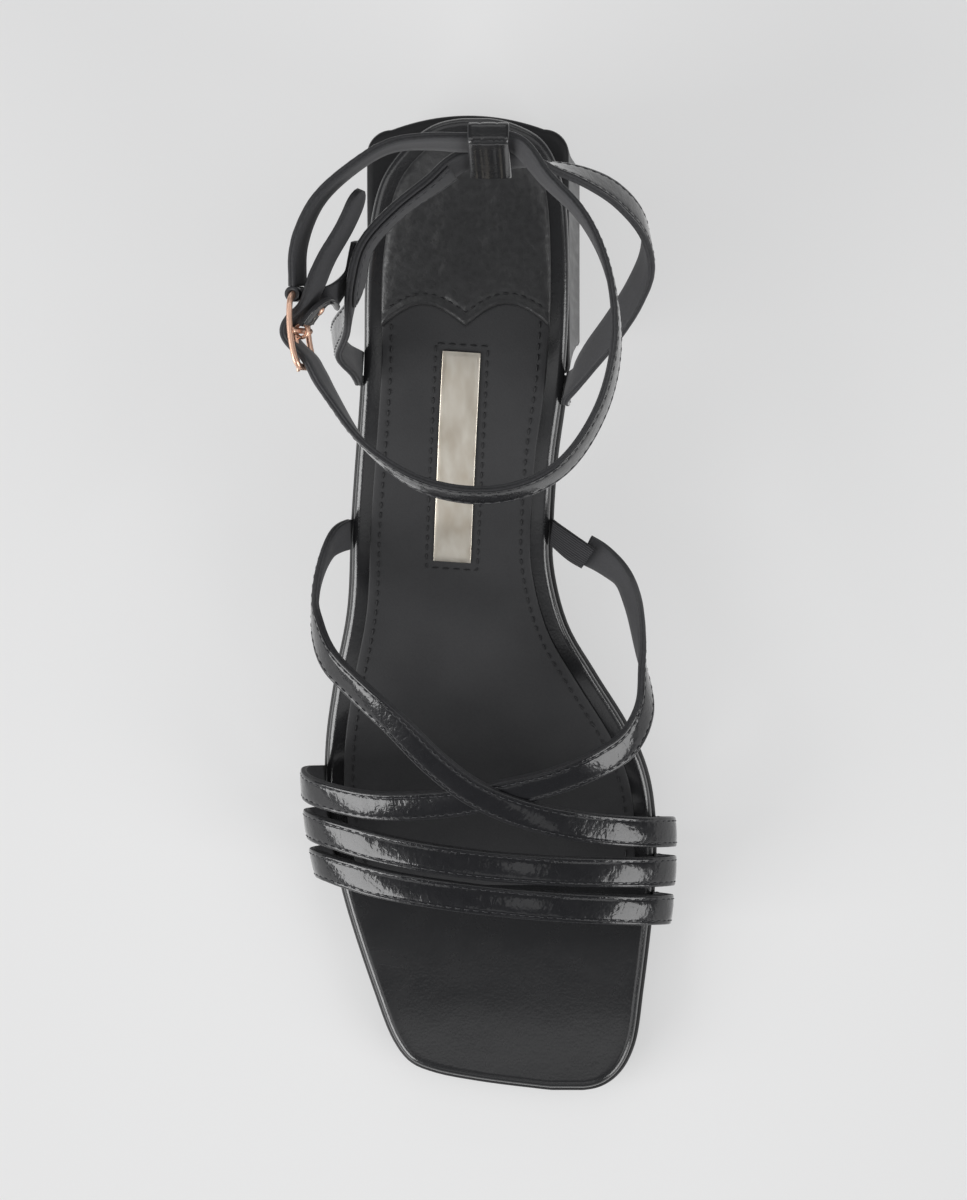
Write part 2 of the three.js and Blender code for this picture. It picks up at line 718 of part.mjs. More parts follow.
// The keeper stands at the back of the ankle and leans back, with both straps inside it
const lean = THREE.MathUtils.degToRad(keeperLean);
const keeperUp = new THREE.Vector3(0, Math.sin(lean), Math.cos(lean));
const keeperOut = new THREE.Vector3(0, Math.cos(lean), -Math.sin(lean));
const keeperMiddle = anklePoint({ across: 0.106, ahead: 0, rise: 0.931 });
const stackHeight = slingWidth + ankleStrapWidth + keeperPlay;
const slingHeight = -stackHeight / 2 + slingWidth / 2;
const ankleStrapHeight = stackHeight / 2 - ankleStrapWidth / 2;

// Rows on either side of the keeper, between which a strap runs straight
function keeperRows(height) {
  const reach = 0.6 * keeperWidth;
  return [reach, -reach].map((across) => {
    const point = keeperMiddle.clone().addScaledVector(keeperUp, height);
    return { point: point.add(new THREE.Vector3(across, 0, 0)), normal: keeperOut.clone() };
  });
}

function makeKeeper() {
  const box = (half, height, radius) => {
    const shape = new THREE.Shape();
    shape.moveTo(half, radius - height);
    shape.lineTo(half, height - radius);
    shape.absarc(half - radius, height - radius, radius, 0, Math.PI / 2, false);
    shape.absarc(radius - half, height - radius, radius, Math.PI / 2, Math.PI, false);
    shape.absarc(radius - half, radius - height, radius, Math.PI, Math.PI * 1.5, false);
    shape.absarc(half - radius, radius - height, radius, Math.PI * 1.5, Math.PI * 2, false);
    return shape;
  };
  const half = strapThickness / 2 + keeperPlay;
  const height = stackHeight / 2 + keeperPlay;
  const outline = box(half + keeperWall, height + keeperWall, keeperPlay / 2 + keeperWall);
  outline.holes.push(box(half, height, keeperPlay / 2));
  const settings = { depth: keeperWidth, bevelEnabled: false, curveSegments: 4 };
  const geometry = new THREE.ExtrudeGeometry(outline, settings);
  geometry.translate(0, 0, -keeperWidth / 2);
  const frame = new THREE.Matrix4().makeBasis(keeperOut, keeperUp, new THREE.Vector3(1, 0, 0));
  frame.setPosition(keeperMiddle);
  return { geometry: bareGeometry(geometry), frame };
}

function bareGeometry(geometry) {
  const bare = geometry.clone();
  bare.deleteAttribute('normal');
  bare.deleteAttribute('uv');
  return mergeVertices(bare, 1e-4);
}

function makeSling() {
  const rows = [
    ...edgeSeat(1, strapSeats.sling.inner, slingWidth, strapThickness),
    ...ankleRows(slingLine),
    ...keeperRows(slingHeight),
    ...ankleRows(slingOuterLine),
    ...edgeSeat(-1, strapSeats.sling.outer, slingWidth, strapThickness).reverse(),
  ];
  return strapBody(strapFrames(rows, 3), slingWidth, strapThickness);
}

// The buckle's own frame: forward along the strap, up along its bars, outward from the ankle
const barReach = buckleWire / Math.SQRT2 + clearance;
const foldReach = barReach + foldThickness;
const barSpan = (buckleLength - buckleWire) / 2;
const bucklePlace = anklePoint({ across: -0.479, ahead: 0.507, rise: 0.97 });
const swing = THREE.MathUtils.degToRad(buckleSwing);
const buckleForward = new THREE.Vector3(Math.sin(swing), -Math.cos(swing), 0);
const buckleTilt = THREE.MathUtils.degToRad(buckleLean);
const buckleLevelOut = new THREE.Vector3(-Math.cos(swing), -Math.sin(swing), 0);
const buckleUp = buckleLevelOut.clone().multiplyScalar(Math.sin(buckleTilt));
buckleUp.z = Math.cos(buckleTilt);
const buckleOut = buckleForward.clone().cross(buckleUp).normalize();
const buckleMatrix = new THREE.Matrix4().makeBasis(buckleForward, buckleUp, buckleOut);
buckleMatrix.setPosition(bucklePlace);

const inBuckle = (forward, up, out) => new THREE.Vector3(forward, up, out).applyMatrix4(buckleMatrix);

// A row of a strap inside the buckle; turn is the angle by which the strap heads outward
function buckleRow(forward, out, turn) {
  const angle = THREE.MathUtils.degToRad(turn);
  const normal = buckleOut.clone().multiplyScalar(Math.cos(angle));
  normal.addScaledVector(buckleForward, -Math.sin(angle));
  return { point: inBuckle(forward, 0, out), normal };
}

// The strap winds inside the rear bar, outside the middle bar and inside the front bar,
// straight between the arcs that clear each bar and what is folded round it
function windingRows() {
  const half = ankleStrapThickness / 2;
  const wide = foldReach + clearance + half;
  const tight = barReach + half;
  const rise = THREE.MathUtils.radToDeg(Math.asin((2 * wide) / barSpan));
  const fall = THREE.MathUtils.radToDeg(Math.asin((wide + tight) / barSpan));
  const onArc = (bar, radius, side, turn) => {
    const angle = THREE.MathUtils.degToRad(turn);
    return buckleRow(bar - side * radius * Math.sin(angle), side * radius * Math.cos(angle), turn);
  };
  return [
    onArc(-barSpan, wide, -1, 0),
    onArc(-barSpan, wide, -1, rise),
    onArc(0, wide, 1, rise),
    onArc(0, wide, 1, 0),
    onArc(0, wide, 1, -fall),
    onArc(barSpan, tight, -1, -fall),
    onArc(barSpan, tight, -1, 0),
  ];
}

// A leather or wire eye round one of the buckle's bars
function eyeRound(bar, innerRadius, outerRadius, height) {
  const shape = new THREE.Shape();
  shape.absarc(0, 0, outerRadius, 0, Math.PI * 2, false);
  const hole = new THREE.Path();
  hole.absarc(0, 0, innerRadius, 0, Math.PI * 2, false);
  shape.holes.push(hole);
  const settings = { depth: height, bevelEnabled: false, curveSegments: 7 };
  const geometry = new THREE.ExtrudeGeometry(shape, settings);
  geometry.rotateX(Math.PI / 2);
  geometry.translate(bar, height / 2, 0);
  return geometry.applyMatrix4(buckleMatrix);
}

// A round pin between two points of the buckle's own frame
function pinBetween(from, to, radius) {
  const shape = new THREE.Shape();
  shape.absarc(0, 0, radius, 0, Math.PI * 2, false);
  const path = new THREE.LineCurve3(inBuckle(...from), inBuckle(...to));
  return new THREE.ExtrudeGeometry(shape, { steps: 1, extrudePath: path, curveSegments: 4 });
}

const prongStart = [barReach / 2, 0, barReach + prongCoilWall / 4];
const prongTip = [barSpan + buckleWire / 2, 0, buckleWire / 2 + clearance + prongWire / 2];

function makeAnkleStrap() {
  const rows = [
    ...ankleRows(tailLine),
    ...windingRows(),
    ...ankleRows(ankleFrontLine),
    ...keeperRows(ankleStrapHeight),
    ...ankleRows(ankleBackLine),
    buckleRow(-barSpan - (barReach + foldReach) / 2, 0, 0),
  ];
  const strap = toSolid(strapBody(strapFrames(rows, 3), ankleStrapWidth, ankleStrapThickness));
  const eye = toSolid(eyeRound(-barSpan, barReach, foldReach, ankleStrapWidth));
  const hole = toSolid(pinBetween(prongStart, prongTip, prongWire / 2 + clearance));
  return toGeometry(strap.add(eye).subtract(hole));
}

function makeBuckleFrame() {
  const box = (back, front, halfHeight, radius) => {
    const shape = new THREE.Shape();
    shape.absarc(front - radius, halfHeight - radius, radius, 0, Math.PI / 2, false);
    shape.absarc(back + radius, halfHeight - radius, radius, Math.PI / 2, Math.PI, false);
    shape.absarc(back + radius, radius - halfHeight, radius, Math.PI, Math.PI * 1.5, false);
    shape.absarc(front - radius, radius - halfHeight, radius, Math.PI * 1.5, Math.PI * 2, false);
    shape.closePath();
    return shape;
  };
  const half = buckleWire / 2;
  const window = buckleHeight / 2 - buckleWire;
  const outline = box(-barSpan - half, barSpan + half, buckleHeight / 2, buckleCorner);
  outline.holes.push(box(-barSpan + half, -half, window, half));
  outline.holes.push(box(half, barSpan - half, window, half));
  const settings = { depth: buckleWire, bevelEnabled: false, curveSegments: 4 };
  const geometry = new THREE.ExtrudeGeometry(outline, settings);
  geometry.translate(0, 0, -half);
  return bareGeometry(geometry);
}

function makeProng() {
  const coil = toSolid(eyeRound(0, barReach, barReach + prongCoilWall, prongCoilWidth));
  const pin = toSolid(pinBetween(prongStart, prongTip, prongWire / 2));
  const bar = toSolid(pinBetween([0, -buckleHeight, 0], [0, buckleHeight, 0], barReach));
  return toGeometry(coil.add(pin).subtract(bar));
}

// The tab that holds the buckle's middle bar, sewn to the outside of the sling
function makeBuckleTab() {
  const sewn = ankleRows([slingOuterLine[2], slingOuterLine[3]]);
  const away = (strapThickness + tabThickness) / 2 + clearance + tabEase;
  sewn.forEach((row) => {
    const down = new THREE.Vector3(0, 0, -1).addScaledVector(row.normal, row.normal.z).normalize();
    row.point.addScaledVector(row.normal, away).addScaledVector(down, tabDrop);
  });
  const turn = THREE.MathUtils.degToRad(tabTurn);
  const eyeSide = buckleForward.clone().multiplyScalar(-Math.cos(turn));
  eyeSide.addScaledVector(buckleOut, -Math.sin(turn));
  const normal = eyeSide.clone().cross(buckleUp).normalize();
  const straight = [(barReach + foldReach) / 2, foldReach + tabThickness].map((reach) => ({
    point: bucklePlace.clone().addScaledVector(eyeSide, reach),
    normal,
  }));
  const rows = [...straight, ...sewn.reverse()];
  const strip = toSolid(strapBody(strapFrames(rows, 5), tabWidth, tabThickness));
  const eye = toSolid(eyeRound(0, barReach, foldReach, tabWidth));
  const slot = toSolid(eyeRound(0, barReach / 2, foldReach + clearance, prongCoilWidth + 2 * clearance));
  return toGeometry(strip.add(eye).subtract(slot));
}

const colours = {
  leather: 0x17171a,
  lining: 0x3a3a3e,
  rubber: 0x101012,
  copper: 0xc98a6a,
  gold: 0xd8c49a,
};

function addPiece(group, name, geometry, colour, roughness, metalness = 0, frame = null) {
  const material = new THREE.MeshStandardMaterial({ color: colour, roughness, metalness });
  const mesh = new THREE.Mesh(geometry, material);
  mesh.name = name;
  if (frame) mesh.applyMatrix4(frame);
  group.add(mesh);
}

const sandal = new THREE.Group();
const heel = makeHeel();
addPiece(sandal, 'heel_block', heel.block, colours.leather, 0.35);
addPiece(sandal, 'heel_top_piece', heel.topPiece, colours.rubber, 0.8);
addPiece(sandal, 'outsole', makeOutsole(), colours.rubber, 0.6);
addPiece(sandal, 'insole', makeInsole(), colours.leather, 0.3);
addPiece(sandal, 'sock_lining', makeLining(), colours.lining, 0.7);
addPiece(sandal, 'heel_pad', makeHeelPad(), colours.leather, 0.5);
addPiece(sandal, 'plate', makePlate(), colours.gold, 0.15, 1);
addPiece(sandal, 'crossed_straps', makeCrossedStraps(), colours.leather, 0.2);
addPiece(sandal, 'middle_band', makeBand(middleBandLine, strapSeats.middleBand), colours.leather, 0.2);
addPiece(sandal, 'front_band', makeBand(frontBandLine, strapSeats.frontBand), colours.leather, 0.2);
addPiece(sandal, 'elastic_tab', makeElasticTab(), colours.lining, 0.8);
addPiece(sandal, 'sling_strap', makeSling(), colours.leather, 0.2);
addPiece(sandal, 'ankle_strap', makeAnkleStrap(), colours.leather, 0.2);
const keeper = makeKeeper();
addPiece(sandal, 'keeper_loop', keeper.geometry, colours.leather, 0.2, 0, keeper.frame);
addPiece(sandal, 'buckle_tab', makeBuckleTab(), colours.leather, 0.2);
addPiece(sandal, 'buckle_frame', makeBuckleFrame(), colours.copper, 0.25, 1, buckleMatrix);
addPiece(sandal, 'buckle_prong', makeProng(), colours.copper, 0.25, 1);

export default sandal;
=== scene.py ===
import math
import bpy
from mathutils import Matrix, Vector, noise


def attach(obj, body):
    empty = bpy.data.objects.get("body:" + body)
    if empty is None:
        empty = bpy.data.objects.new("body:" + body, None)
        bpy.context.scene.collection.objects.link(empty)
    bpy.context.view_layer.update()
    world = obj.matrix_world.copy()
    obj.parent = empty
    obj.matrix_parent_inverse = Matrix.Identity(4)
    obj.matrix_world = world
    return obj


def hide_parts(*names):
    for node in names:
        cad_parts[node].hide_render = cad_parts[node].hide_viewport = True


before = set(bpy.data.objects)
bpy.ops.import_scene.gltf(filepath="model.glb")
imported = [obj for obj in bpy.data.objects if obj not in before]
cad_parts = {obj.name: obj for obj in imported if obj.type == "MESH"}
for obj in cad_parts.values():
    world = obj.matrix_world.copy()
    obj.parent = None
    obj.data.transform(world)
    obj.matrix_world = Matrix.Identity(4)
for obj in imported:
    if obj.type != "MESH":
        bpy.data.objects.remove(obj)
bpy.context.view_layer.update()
mm = 0.001
print("frame loaded")

# Shapes are worked out in millimetres, as in the CAD, and meshes are made in metres.
# +X is the inner side of the foot, +Y the heel, +Z up, and the floor is at zero.

last = dict(
    soleLength=238, ballWidth=81, heelLift=58, toeSpring=4.5, instepHeight=54, seatBack=25.6,
    ankleWidth=74, ankleLength=82, ankleRise=62, ankleSetback=13.7, ankleCentre=0.45,
)
sole = dict(
    insoleThickness=5, outsoleThickness=3, outsoleOverhang=0.9, breastSetback=61, clearance=0.3,
    strapExit=2.2,
)

# along, across: shares of the sole's length from the heel and of the ball's width
outerEdge = [
    (0.0015, -0.035), (0.007, -0.098), (0.022, -0.165), (0.06, -0.252), (0.133, -0.3), (0.258, -0.316),
    (0.408, -0.358), (0.497, -0.379), (0.57, -0.426), (0.637, -0.458), (0.7, -0.461), (0.789, -0.415),
    (0.898, -0.312), (0.95, -0.25), (0.971, -0.2), (0.981, -0.13), (0.989, -0.01), (0.996, 0.15),
    (0.9995, 0.27),
]
innerEdge = [
    (0.0005, 0.06), (0.007, 0.145), (0.025, 0.232), (0.065, 0.284), (0.143, 0.303), (0.258, 0.288),
    (0.344, 0.252), (0.405, 0.237), (0.45, 0.234), (0.513, 0.277), (0.563, 0.36), (0.622, 0.466),
    (0.665, 0.519), (0.708, 0.541), (0.772, 0.544), (0.898, 0.505), (0.955, 0.478), (0.982, 0.435),
    (0.996, 0.375),
]
# along, share of the heel's lift, share of the toe's spring
bedLine = [
    (0, 1, 0), (0.08, 0.98, 0), (0.16, 0.93, 0), (0.24, 0.85, 0), (0.32, 0.735, 0), (0.4, 0.58, 0),
    (0.48, 0.405, 0), (0.56, 0.235, 0), (0.64, 0.095, 0), (0.72, 0, 0), (0.82, 0, 0), (0.9, 0, 0.28),
    (1, 0, 1),
]
# girth from the outer edge over the top to the inner edge, share to the side, share of the height
lastSection = [
    (0, -1, 0), (0.1, -1.09, 0.22), (0.2, -1.05, 0.47), (0.32, -0.82, 0.72), (0.46, -0.4, 0.92),
    (0.6, 0.1, 1), (0.73, 0.55, 0.95), (0.84, 0.9, 0.72), (0.93, 1.07, 0.4), (1, 1, 0),
]
lastHeight = [
    (0.36, 1), (0.45, 0.96), (0.55, 0.84), (0.63, 0.72), (0.7, 0.62), (0.76, 0.55), (0.8, 0.51),
    (0.9, 0.42),
]


# Curves and tables

def readColumn(rows, column, at):
    # smooth reading of a table's column, with no overshoot between its rows
    end = len(rows) - 1
    at = min(max(at, rows[0][0]), rows[end][0])
    step = lambda i: rows[i + 1][0] - rows[i][0]
    slope = lambda i: (rows[i + 1][column] - rows[i][column]) / step(i)

    def tangent(i):
        if i == 0:
            return slope(0)
        if i == end:
            return slope(end - 1)
        before, after = slope(i - 1), slope(i)
        if before * after <= 0:
            return 0
        heavy, light = 2 * step(i) + step(i - 1), step(i) + 2 * step(i - 1)
        return (heavy + light) / (heavy / before + light / after)

    i = 0
    while i < end - 1 and at > rows[i + 1][0]:
        i += 1
    t = (at - rows[i][0]) / step(i)
    start, finish = rows[i][column], rows[i + 1][column]
    startPull = (t ** 3 - 2 * t ** 2 + t) * step(i) * tangent(i)
    endPull = (t ** 3 - t ** 2) * step(i) * tangent(i + 1)
    return (2 * t ** 3 - 3 * t ** 2 + 1) * start + startPull + (3 * t ** 2 - 2 * t ** 3) * finish + endPull


def smoothLine(points, perSpan, closed=False, even=False):
    # points of a smooth curve through the given ones; even leaves its knots evenly spaced
    count = len(points)
    line = []
    for span in range(count if closed else count - 1):
        here, there = points[span], points[(span + 1) % count]
        before = points[span - 1] if closed or span > 0 else here * 2 - there
        after = points[(span + 2) % count] if closed or span + 2 < count else there * 2 - here
        if even:
            startPull, endPull = (there - before) * 0.5, (after - here) * 0.5
        else:
            pairs = (before, here), (here, there), (there, after)
            gaps = [max((b - a).length ** 0.5, 1e-4) for a, b in pairs]
            startPull = (here - before) / gaps[0] - (there - before) / (gaps[0] + gaps[1])
            startPull = (startPull + (there - here) / gaps[1]) * gaps[1]
            endPull = (there - here) / gaps[1] - (after - here) / (gaps[1] + gaps[2])
            endPull = (endPull + (after - there) / gaps[2]) * gaps[1]
        for step in range(perSpan):
            t = step / perSpan
            line.append(
                here * (2 * t ** 3 - 3 * t ** 2 + 1) + startPull * (t ** 3 - 2 * t ** 2 + t)
                + there * (3 * t ** 2 - 2 * t ** 3) + endPull * (t ** 3 - t ** 2)
            )
    if not closed:
        line.append(points[-1].copy())
    return line


# The sole's plan and heights

def alongToY(along):
    return last["seatBack"] - along * last["soleLength"]


def insoleUnder(y):
    along = (last["seatBack"] - y) / last["soleLength"]
    lift = last["heelLift"] * readColumn(bedLine, 1, along)
    spring = last["toeSpring"] * readColumn(bedLine, 2, along)
    return sole["outsoleThickness"] + sole["clearance"] + lift + spring


def insoleTop(y):
    return insoleUnder(y) + sole["insoleThickness"]


planCorners = [Vector((across * last["ballWidth"], alongToY(along), 0)) for along, across in outerEdge]
planCorners += [Vector((across * last["ballWidth"], alongToY(along), 0)) for along, across in innerEdge][::-1]
solePlan = smoothLine(planCorners, 16, closed=True)


def setIn(loop, distance):
    moved = []
    for i, point in enumerate(loop):
        side = (loop[(i + 1) % len(loop)] - loop[i - 1]).normalized()
        moved.append(Vector((point.x - side.y * distance, point.y + side.x * distance, 0)))
    return moved


def edgesAt(loop, y):
    crossings = []
    for i, point in enumerate(loop):
        after = loop[(i + 1) % len(loop)]
        if (point.y - y) * (after.y - y) > 0 or point.y == after.y:
            continue
        crossings.append(point.x + (after.x - point.x) * (y - point.y) / (after.y - point.y))
    return min(crossings), max(crossings)


def endsOf(loop):
    return max(p.y for p in loop), min(p.y for p in loop)


def stations(back, front, count, roundBack=True, roundFront=True):
    # places from back to front, closer together near a rounded end
    inset = 0.0006
    places = []
    for i in range(count):
        t = i / (count - 1)
        if roundBack and roundFront:
            t = (1 - math.cos(math.pi * t)) / 2
        elif roundBack:
            t = 1 - math.cos(math.pi / 2 * t)
        elif roundFront:
            t = math.sin(math.pi / 2 * t)
        start, end = (inset if roundBack else 0), (1 - inset if roundFront else 1)
        places.append(back + (front - back) * (start + (end - start) * t))
    return places


def gridOver(loop, ys, columns, heightAt, shiftAt=None):
    grid = []
    for row, y in enumerate(ys):
        outer, inner = edgesAt(loop, y)
        line = []
        for column in range(columns + 1):
            share = column / columns
            x = outer + (inner - outer) * share
            shifted = y + (shiftAt(share, row / (len(ys) - 1)) if shiftAt else 0)
            line.append(Vector((x, shifted, heightAt(x, shifted, share, row / (len(ys) - 1)))))
        grid.append(line)
    return grid


def borderOf(grid):
    # once round a grid, anticlockwise seen from above
    border = [row[0] for row in grid[:-1]] + grid[-1][:-1]
    border += [row[-1] for row in grid[:0:-1]] + grid[0][:0:-1]
    return border


def pushOut(border, distance, heightAt):
    ring = []
    for i, point in enumerate(border):
        side = border[(i + 1) % len(border)] - border[i - 1]
        side.z = 0
        side.normalize()
        x, y = point.x + side.y * distance, point.y - side.x * distance
        ring.append(Vector((x, y, heightAt(x, y))))
    return ring


# The last, where the straps lie

def lastPoint(girth, along):
    y = alongToY(along)
    outer, inner = edgesAt(solePlan, y)
    half = (inner - outer) / 2 + sole["clearance"]
    x = (outer + inner) / 2 + readColumn(lastSection, 1, girth) * half
    height = readColumn(lastHeight, 1, along) * last["instepHeight"]
    return Vector((x, y, insoleTop(y) + readColumn(lastSection, 2, girth) * height))


def lastRow(girth, along, standOff, thickness, droop=0):
    # droop turns a free strap's face down, so that its lining shows from above
    nudge = 1e-3
    across = lastPoint(min(girth + nudge, 1), along) - lastPoint(max(girth - nudge, 0), along)
    forward = lastPoint(girth, along + nudge) - lastPoint(girth, along - nudge)
    face = forward.cross(across).normalized()
    point = lastPoint(girth, along) + face * (thickness / 2 + standOff * last["ballWidth"])
    face.z -= droop
    return point, face.normalized()


def edgeSeat(side, along, width, thickness):
    # where a strap goes down beside the footbed; side is -1 outside and 1 inside
    y = alongToY(along)
    edge = edgesAt(solePlan, y)[0 if side < 0 else 1]
    edgeAhead = edgesAt(solePlan, y - 2)[0 if side < 0 else 1]
    face = Vector((2 * side, (edgeAhead - edge) * side, 0)).normalized()
    out = face * (sole["clearance"] + thickness / 2)
    heights = insoleUnder(y + width / 2), insoleTop(y) - sole["strapExit"]
    return [(Vector((edge, y, z)) + out, face.copy()) for z in heights]


ankleBack = Vector((0, last["seatBack"] - last["ankleSetback"], insoleTop(last["seatBack"])))


def anklePoint(across, ahead, rise):
    return Vector((
        across * last["ankleWidth"], ankleBack.y - ahead * last["ankleLength"],
        ankleBack.z + rise * last["ankleRise"],
    ))


def ankleRow(across, ahead, rise, tip):
    # tip turns the face from up to outward
    point = anklePoint(across, ahead, rise)
    outward = point - anklePoint(0, last["ankleCentre"], 0)
    outward.z = 0
    tip = math.radians(tip)
    return point, outward.normalized() * math.sin(tip) + Vector((0, 0, math.cos(tip)))


# Making meshes

def makePiece(name, points, faces, uvs, materials, slots=None):
    # uvs: one for each point, in millimetres; slots: the material of each face
    mesh = bpy.data.meshes.new(name)
    mesh.from_pydata([p * mm for p in points], [], faces)
    for material in materials:
        mesh.materials.append(material)
    layer = mesh.uv_layers.new(name="millimetres")
    for polygon in mesh.polygons:
        polygon.use_smooth = True
        polygon.material_index = slots[polygon.index] if slots else 0
        for corner in polygon.loop_indices:
            layer.data[corner].uv = uvs[mesh.loops[corner].vertex_index]
    mesh.update()
    piece = bpy.data.objects.new(name, mesh)
    bpy.context.scene.collection.objects.link(piece)
    return piece


def fitOut(piece, slot, *nodes):
    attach(piece, "root")
    if nodes:
        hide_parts(*nodes)
    return piece


def ringFaces(rings, sides, start=0, closed=False, capped=True, turned=False):
    # quads between neighbouring rings of points, then the two end caps; turned faces the other way
    faces = []
    for ring in range(rings if closed else rings - 1):
        here, there = start + ring * sides, start + (ring + 1) % rings * sides
        for side in range(sides):
            after = (side + 1) % sides
            quad = here + side, here + after, there + after, there + side
            faces.append((quad[0], *quad[:0:-1]) if turned else quad)
    if capped and not closed:
        first, final = range(start, start + sides), range(start + (rings - 1) * sides, start + rings * sides)
        faces.append(tuple(first if turned else reversed(first)))
        faces.append(tuple(reversed(final) if turned else final))
    return faces


def solidBetween(name, top, rings, bottom, material):
    # a closed body: a top grid, rings of its wall from the top down, and a bottom grid
    points, faces, uvs = [], [], []

    def addGrid(grid, up):
        start, width = len(points), len(grid[0])
        for p in (p for row in grid for p in row):
            points.append(p)
            uvs.append((p.x, p.y))
        for row in range(len(grid) - 1):
            for column in range(width - 1):
                a = start + row * width + column
                quad = (a, a + width, a + width + 1, a + 1)
                faces.append(quad if up else quad[::-1])
        return [start + i for i in borderIndices(len(grid), width)]

    topRing = addGrid(top, True)
    bottomRing = addGrid(bottom, False)
    runs = [0]
    border = borderOf(top)
    for i in range(1, len(border)):
        runs.append(runs[-1] + (border[i] - border[i - 1]).length)
    previous, depth = topRing, 0
    for ring in [*rings, None]:
        if ring is None:
            current = bottomRing
        else:
            current = list(range(len(points), len(points) + len(ring)))
            depth += 0.5
            for i, p in enumerate(ring):
                points.append(p)
                uvs.append((runs[i], depth))
        count = len(current)
        for i in range(count):
            after = (i + 1) % count
            faces.append((previous[i], current[i], current[after], previous[after]))
        previous = current
    return makePiece(name, points, faces, uvs, [material])


def borderIndices(rows, width):
    order = [row * width for row in range(rows - 1)]
    order += [(rows - 1) * width + column for column in range(width - 1)]
    order += [row * width + width - 1 for row in range(rows - 1, 0, -1)]
    order += [column for column in range(width - 1, 0, -1)]
    return order


def softened(vectors, reach):
    # each vector averaged with its neighbours, fewer of them near the ends
    smooth = []
    for i in range(len(vectors)):
        span = min(reach, i, len(vectors) - 1 - i)
        near = vectors[i - span:i + span + 1]
        smooth.append(sum(near, Vector()) / len(near))
    return smooth


def framesAlong(rows, spacing=0.7):
    # evenly spaced frames along a strap: its middle, the way it runs, its width and its face
    points = smoothLine([row[0] for row in rows], 24)
    faces = smoothLine([row[1] for row in rows], 24, even=True)
    runs = [0]
    for a, b in zip(points, points[1:]):
        runs.append(runs[-1] + (b - a).length)
    count = max(2, round(runs[-1] / spacing))
    places, turns, marks, i = [], [], [], 0
    for step in range(count + 1):
        run = runs[-1] * step / count
        while i < len(runs) - 2 and runs[i + 1] < run:
            i += 1
        t = (run - runs[i]) / max(runs[i + 1] - runs[i], 1e-9)
        places.append(points[i].lerp(points[i + 1], t))
        turns.append(faces[i].lerp(faces[i + 1], t))
        marks.append(run)
    places, turns = softened(places, round(1.6 / spacing)), softened(turns, round(4.5 / spacing))
    frames = []
    for i, (place, face, run) in enumerate(zip(places, turns, marks)):
        tangent = (places[min(i + 1, count)] - places[max(i - 1, 0)]).normalized()
        width = face.cross(tangent).normalized()
        normal = tangent.cross(width).normalized()
        frames.append(dict(point=place, tangent=tangent, width=width, normal=normal, run=run))
    return frames


def strapSection(width, thickness, channel=1.05):
    # points (across, out) round a strap's section with the finish of the side after each:
    # 0 the outer face, 1 the cut edge, 2 the lining
    w, t = width / 2, thickness / 2
    half = [
        (w - 0.2, -t, 1), (w - 0.03, -t + 0.18, 1), (w, -0.28, 1), (w - 0.2, -0.12, 1),
        (w, 0.04, 1), (w, t - 0.5, 1), (w - 0.07, t - 0.2, 0), (w - 0.22, t - 0.05, 0),
        (w - 0.5, t + 0.03, 0), (w - channel + 0.2, t + 0.02, 0), (w - channel, t - 0.09, 0),
        (w - channel - 0.22, t + 0.03, 0), (w - channel - 0.6, t + 0.09, 0), (w * 0.35, t + 0.16, 0),
    ]
    section = half + [(0, t + 0.18, 0)]
    mirrored = [(-a, b) for a, b, _ in half[::-1]]
    finishes = [0] * 8 + [1] * 5 + [2]
    section += [(a, b, finish) for (a, b), finish in zip(mirrored, finishes)]
    section += [(-w * 0.4, -t, 2), (w * 0.4, -t, 2)]
    return section


def strapPiece(name, frames, section, materials, crinkle=0.05, seed=0, shape=None):
    points, uvs = [], []
    for frameHere in frames:
        girth = 0
        for index, (a, b, finish) in enumerate(section):
            if shape:
                a, b = shape(frameHere["run"], a, b)
            p = frameHere["point"] + frameHere["width"] * a + frameHere["normal"] * b
            if crinkle and finish == 0 and b > 0:
                ripple = noise.fractal(p * 0.42 + Vector((seed, 0, 0)), 0.6, 2.1, 3)
                p = p + frameHere["normal"] * crinkle * ripple
            points.append(p)
            if index:
                girth += math.dist((a, b), section[index - 1][:2])
            uvs.append((girth, frameHere["run"]))
    faces = ringFaces(len(frames), len(section))
    slots = [finish for _, _, finish in section] * (len(frames) - 1) + [1, 1]
    return makePiece(name, points, faces, uvs, materials, slots)


def roundedLoop(reach, rise, radius, steps, straight):
    # once round a rectangle with rounded corners, as pairs; reach and rise are the corners' centres
    corners = [(reach, rise, 0), (-reach, rise, 90), (-reach, -rise, 180), (reach, -rise, 270)]
    loop = []
    for index, (across, up, start) in enumerate(corners):
        for step in range(steps + 1):
            angle = math.radians(start + 90 * step / steps)
            loop.append((across + radius * math.cos(angle), up + radius * math.sin(angle)))
        nextAcross, nextUp, nextStart = corners[(index + 1) % 4]
        angle = math.radians(nextStart)
        here = loop[-1]
        there = nextAcross + radius * math.cos(angle), nextUp + radius * math.sin(angle)
        for step in range(1, straight):
            t = step / straight
            loop.append(tuple(a + (b - a) * t for a, b in zip(here, there)))
    return loop


